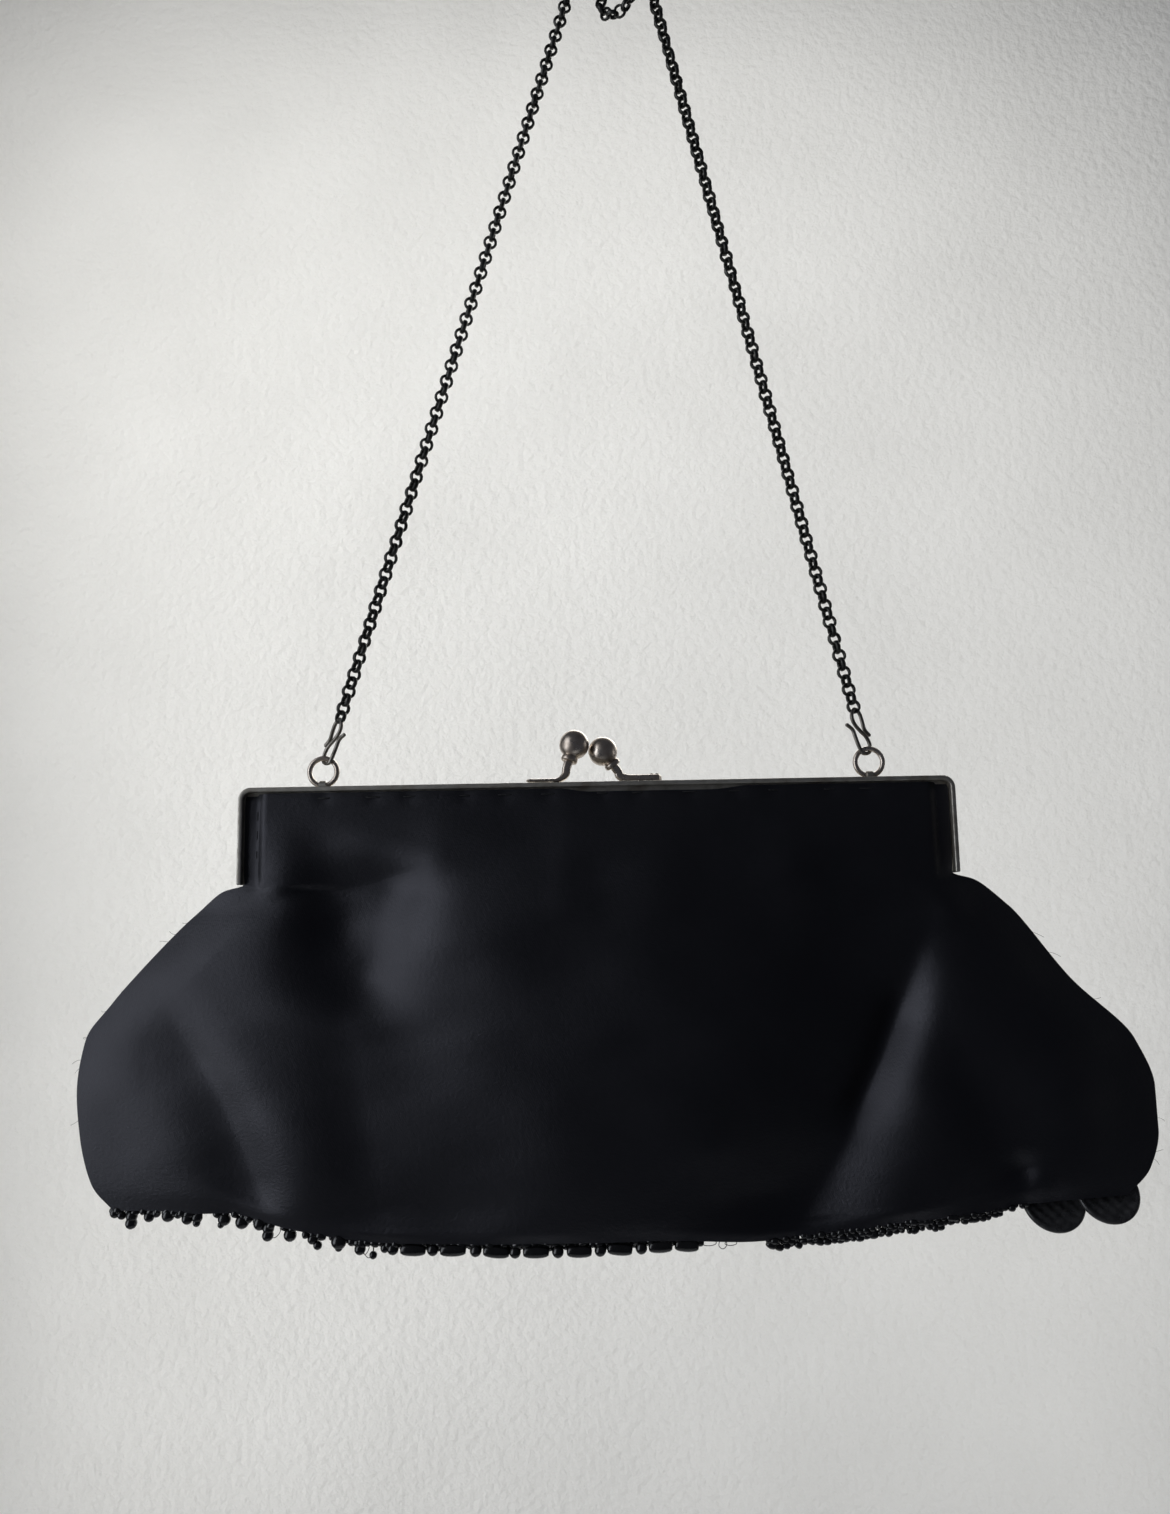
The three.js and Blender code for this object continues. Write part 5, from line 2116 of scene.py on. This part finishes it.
@dataclass
class FrontBeadwork:
    """Discs in a lattice of small beads on the front."""

    shop: Workshop
    panel: SatinPanel
    rows: tuple[DiscRow, ...] = (DiscRow(5, 0.32, 0.72), DiscRow(6, 0.47, 0.76), DiscRow(7, 0.62, 0.78),
                                 DiscRow(6, 0.77, 0.62))
    hem_discs: tuple[HemDisc, ...] = (HemDisc(122.3, 3.2, -116.1, -26.0), HemDisc(137.0, 2.7, -114.0, -26.0))
    disc_radius: float = 8.6
    disc_thickness: float = 1.0
    hatch: float = 2.5
    relief: float = 0.3
    lift: float = 0.35
    seed: BeadShape = BeadShape(0.95, 1.6, 0.7, 8, 6)
    bugle: BeadShape = BeadShape(1.0, 5.2, 0.35, 10, 7)
    seed_pitch: float = 1.9
    ring_gap: float = 1.15
    seed_sits: float = 0.85
    middle_sits: float = 0.6
    bugle_sits: float = 0.9
    bar_gap: float = 0.5
    longest_bar: float = 48.0

    def disc_centres(self) -> list[list[Array]]:
        """The discs' places on the satin.

        Returns:
            A list for each row, with each disc's middle and the cloth's outward direction there.
        """
        rows = []
        for row in self.rows:
            across = row.spread * np.linspace(-1, 1, row.count)
            flat = self.panel.surface(across, np.full(row.count, row.down))
            rows.append([np.array(self.panel.rest(p[0], p[2])) for p in flat])
        return rows

    def build(self) -> None:
        """Makes the discs, the rings round them and the lattice between."""
        rows = self.disc_centres()
        flat = [disc for row in rows for disc in row]
        places = [d[0] + d[1] * (self.disc_thickness / 2 + self.lift) for d in flat]
        ways = [d[1] for d in flat]
        for disc in self.hem_discs:
            lean = math.radians(disc.lean)
            places.append(np.array(disc[:3]))
            ways.append(np.array([0.0, math.cos(lean), math.sin(lean)]))
        sizes = np.ones((len(places), 3))
        cloud = point_cloud("front_discs", self.shop.space.array(places), turn_to(ways), sizes)
        values = {"Disc Radius": self.disc_radius * MM, "Thickness": self.disc_thickness * MM,
                  "Hatch Pitch": self.hatch * MM, "Relief": self.relief * MM, "Material": self.shop.etched}
        piece = realised("front_discs", cloud, self.shop.trees.discs, values)
        fit(piece, [f"paillette_{i + 1:02d}" for i in range(len(places))])
        self.rings(flat)
        self.lattice(rows)

    def rings(self, discs: Sequence[Array]) -> None:
        """Makes a ring of small beads round each disc, and one bead on its middle.

        Args:
            discs: Each disc's middle and the cloth's direction there.
        """
        places, ways = [], []
        radius = self.disc_radius + self.ring_gap
        count = int(2 * math.pi * radius / self.seed_pitch)
        for centre, normal in discs:
            first = unit(np.cross(normal, (0.0, 0.0, 1.0)))
            second = np.cross(normal, first)
            for angle in np.linspace(0, 2 * math.pi, count, endpoint=False):
                out = first * math.cos(angle) + second * math.sin(angle)
                at = centre + out * radius
                place, _ = self.panel.rest(at[0], at[2], self.seed.radius * self.seed_sits)
                places.append(place)
                ways.append(second * math.cos(angle) - first * math.sin(angle))
            above = self.disc_thickness + self.lift + self.seed.radius * self.middle_sits
            places.append(centre + normal * above)
            ways.append(normal)
        fit(self.shop.beads("front_ring_beads", places, ways, self.seed, self.shop.jet))

    def lattice(self, rows: list[list[Array]]) -> None:
        """Makes the bars of long beads between neighbouring discs, with a small bead at each end.

        Args:
            rows: The discs' middles and directions, by row.
        """
        bars, bar_ways, seeds, seed_ways = [], [], [], []
        clear = self.disc_radius + self.ring_gap + self.seed.radius
        for upper, lower in zip(rows, rows[1:]):
            for top in upper:
                nearest = sorted(lower, key=lambda other: abs(other[0][0] - top[0][0]))[:2]
                for bottom in nearest:
                    way = bottom[0] - top[0]
                    length = float(np.linalg.norm(way))
                    if length > self.longest_bar:
                        continue
                    way = way / length
                    free = length - 2 * clear
                    count = max(int(free / (self.bugle.length + self.seed.length + self.bar_gap)), 0)
                    for share in (np.arange(count) + 0.5) / max(count, 1):
                        at = top[0] + way * (clear + free * share)
                        place, _ = self.panel.rest(at[0], at[2], self.bugle.radius * self.bugle_sits)
                        bars.append(place)
                        bar_ways.append(way)
                    for share in np.arange(count + 1) / max(count, 1):
                        at = top[0] + way * (clear + free * share)
                        place, _ = self.panel.rest(at[0], at[2], self.seed.radius * self.seed_sits)
                        seeds.append(place)
                        seed_ways.append(way)
        fit(self.shop.beads("front_bugle_beads", bars, bar_ways, self.bugle, self.shop.jet))
        fit(self.shop.beads("front_lattice_beads", seeds, seed_ways, self.seed, self.shop.jet))


@dataclass(frozen=True)
class LooseFibres:
    """Frayed fibres along the side seams."""

    shop: Workshop
    panel: SatinPanel
    count: int = 16
    radius: float = 0.045
    reach: Two = (1.2, 3.2)
    rows: Two = (0.45, 0.97)
    seed: int = 11

    def build(self) -> None:
        """Makes short curled fibres at the left and right edges."""
        draw = np.random.default_rng(self.seed)
        lines = []
        for i in range(self.count):
            column = 0 if i % 3 else -1
            row = int(draw.uniform(*self.rows) * self.panel.rows)
            root = self.panel.grid[row, column] * (1, 0, 1)
            out = -1.0 if column == 0 else 1.0
            way = np.array([out, draw.uniform(-0.6, 0.6), draw.uniform(-0.9, 0.3)])
            curl = np.array([0.0, draw.uniform(-1, 1), draw.uniform(-1, 1)])
            reach = draw.uniform(*self.reach)
            lines.append(smooth_path([root - way * 0.6, root + way * reach * 0.4,
                                      root + way * reach * 0.75 + curl * 0.4, root + way * reach + curl], 4))
        fit(self.shop.thread_lines("seam_fibres", lines, self.radius))


class Lamp(NamedTuple):
    """One soft light: its place, aim and size in metres, its power, its spread in degrees and its colour."""

    name: str
    place: Three
    aim: Three
    size: Two
    power: float
    spread: float
    colour: Three


WALL_Y = 0.80
FLOOR_Z = -2.0
BAG_MIDDLE = (0.0, 0.0, -0.33)
WALL_MIDDLE = (0.0, WALL_Y, -0.25)
COOL = (0.90, 0.94, 1.0)
WARM = (1.0, 0.99, 0.95)
LAMPS = (
    Lamp("key_left", (-1.05, -0.60, -0.10), BAG_MIDDLE, (0.7, 1.7), 2.8, 100.0, COOL),
    Lamp("low_left", (-1.02, -0.30, -0.70), BAG_MIDDLE, (0.5, 0.5), 0.28, 100.0, COOL),
    Lamp("wall_left", (-0.85, 0.26, -0.33), WALL_MIDDLE, (0.4, 1.6), 3.25, 95.0, WARM),
    Lamp("wall_right", (0.95, 0.26, -0.48), WALL_MIDDLE, (0.4, 1.6), 2.4, 95.0, WARM),
    Lamp("wall_top", (-0.15, 0.20, 0.75), (-0.15, WALL_Y, 0.25), (1.4, 0.3), 2.2, 120.0, WARM),
    Lamp("far_soft", (0.30, 0.74, 0.15), (0.30, 0.0, 0.15), (0.8, 0.5), 3.0, 120.0, WARM),
    Lamp("floor_soft", (0.0, -0.2, -1.0), (0.0, -0.2, FLOOR_Z), (2.0, 1.4), 5.0, 140.0, COOL),
)


@dataclass(frozen=True)
class Studio:
    """The camera, the soft lights and the pale ground."""

    shop: Workshop
    effects: SurfaceEffects
    camera_place: Three = (-3.078, -329.495, -38.1)
    focal_pixels: float = 1170.0
    pitch: float = 7.9
    roll: float = 1.04
    near: float = 0.01
    floor_z: float = FLOOR_Z
    wall_y: float = WALL_Y
    cove: float = 0.25
    cove_steps: int = 12
    dim: Colour = (0.049, 0.052, 0.062, 1)
    pale: Colour = (0.56, 0.565, 0.55, 1)
    half_width: float = 1.3
    front_y: float = -1.3
    wall_top: float = 0.95

    def build(self) -> None:
        """Sets up everything that isn't the object."""
        self.camera()
        self.ground()
        self.lights()
        self.room()
        bpy.context.scene.view_settings.view_transform = "Standard"

    def room(self) -> None:
        """A dim room that looks pale where nothing stands in front of it."""
        world = bpy.data.worlds.new("soft_room")
        world.use_nodes = True
        wiring = Wiring(world.node_tree)
        shown = wiring.node("ShaderNodeLightPath").outputs["Is Camera Ray"]
        background = world.node_tree.nodes["Background"]
        wiring.feed(background.inputs["Color"], wiring.mix(shown, self.dim, self.pale))
        bpy.context.scene.world = world

    def camera(self) -> None:
        """The camera at the photograph's viewing angle."""
        data = bpy.data.cameras.new("camera")
        data.sensor_width = SENSOR
        data.lens = self.focal_pixels / max(PHOTO_WIDTH, PHOTO_HEIGHT) * SENSOR
        data.clip_start = self.near
        camera = bpy.data.objects.new("camera", data)
        tilt = Matrix.Rotation(math.radians(90 + self.pitch), 4, "X")
        turn = tilt @ Matrix.Rotation(math.radians(-self.roll), 4, "Z")
        camera.matrix_world = Matrix.Translation(self.shop.space.at(*self.camera_place)) @ turn
        bpy.context.scene.collection.objects.link(camera)
        bpy.context.scene.camera = camera

    def ground(self) -> None:
        """A pale floor that curves up into a far wall."""
        cove = self.cove
        bend = [(self.wall_y - cove + cove * math.sin(a), self.floor_z + cove - cove * math.cos(a))
                for a in np.linspace(0, math.pi / 2, self.cove_steps + 1)]
        line = [(self.front_y, self.floor_z), *bend, (self.wall_y, self.wall_top)]
        points = [(side * self.half_width, y, z) for y, z in line for side in (-1, 1)]
        faces = [(2 * i, 2 * i + 1, 2 * i + 3, 2 * i + 2) for i in range(len(line) - 1)]
        mesh = bpy.data.meshes.new("pale_ground")
        mesh.from_pydata(points, [], faces)
        mesh.shade_smooth()
        effects = self.effects
        dress(linked("pale_ground", mesh), PlasterFinish().material(effects))

    def lights(self) -> None:
        """A large soft light from the left, and weaker ones for the wall and the rest."""
        for lamp in LAMPS:
            data = bpy.data.lights.new(lamp.name, "AREA")
            data.shape = "RECTANGLE"
            data.size, data.size_y = lamp.size
            data.energy = lamp.power
            data.spread = math.radians(lamp.spread)
            data.color = lamp.colour
            light = bpy.data.objects.new(lamp.name, data)
            light.location = lamp.place
            way = Vector(lamp.aim) - Vector(lamp.place)
            light.rotation_euler = way.to_track_quat("-Z", "Y").to_euler()
            light.visible_camera = False
            bpy.context.scene.collection.objects.link(light)


CLASPS = (
    {"name": "clasp_left", "side": -1, "foot_end": -20.0, "foot_start": -9.6, "neck": (-8.3, 4.2),
     "ball": (-6.1, -1.2, 11.0), "ball_radius": 4.2, "foot_thickness": 0.9},
    {"name": "clasp_right", "side": 1, "foot_end": 19.0, "foot_start": 7.6, "neck": (6.3, 3.4),
     "ball": (2.0, 1.4, 9.3), "ball_radius": 4.15, "foot_thickness": 2.3, "rivets": (15.9, 17.4)},
)


def main() -> None:
    """Builds the clutch around its CAD frame."""
    logging.basicConfig(level=logging.INFO, format="%(name)s %(message)s")
    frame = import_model()
    effects = SurfaceEffects()
    shop = Workshop.open(effects)
    Studio(shop, effects).build()
    back = SatinPanel(shop, Side.BACK, "satin_back", "pouch_back", "frame_back", BACK_FOLDS)
    front = SatinPanel(shop, Side.FRONT, "satin_front", "pouch_front", "frame_front", FRONT_FOLDS)
    back.build()
    front.build()
    PurseFrame(shop).build()
    for row in CLASPS:
        Clasp(shop, **row).build()
    ChainHanger(shop).build()
    FrameStitches(shop, [back, front]).build()
    HemBeads(shop, front).build()
    FrontBeadwork(shop, front).build()
    LooseFibres(shop, back).build()
    for node in ("hinge_rivet_left", "hinge_rivet_right"):
        dress(frame["nodes"][node], shop.fitting)


if __name__ == "__main__":
    main()
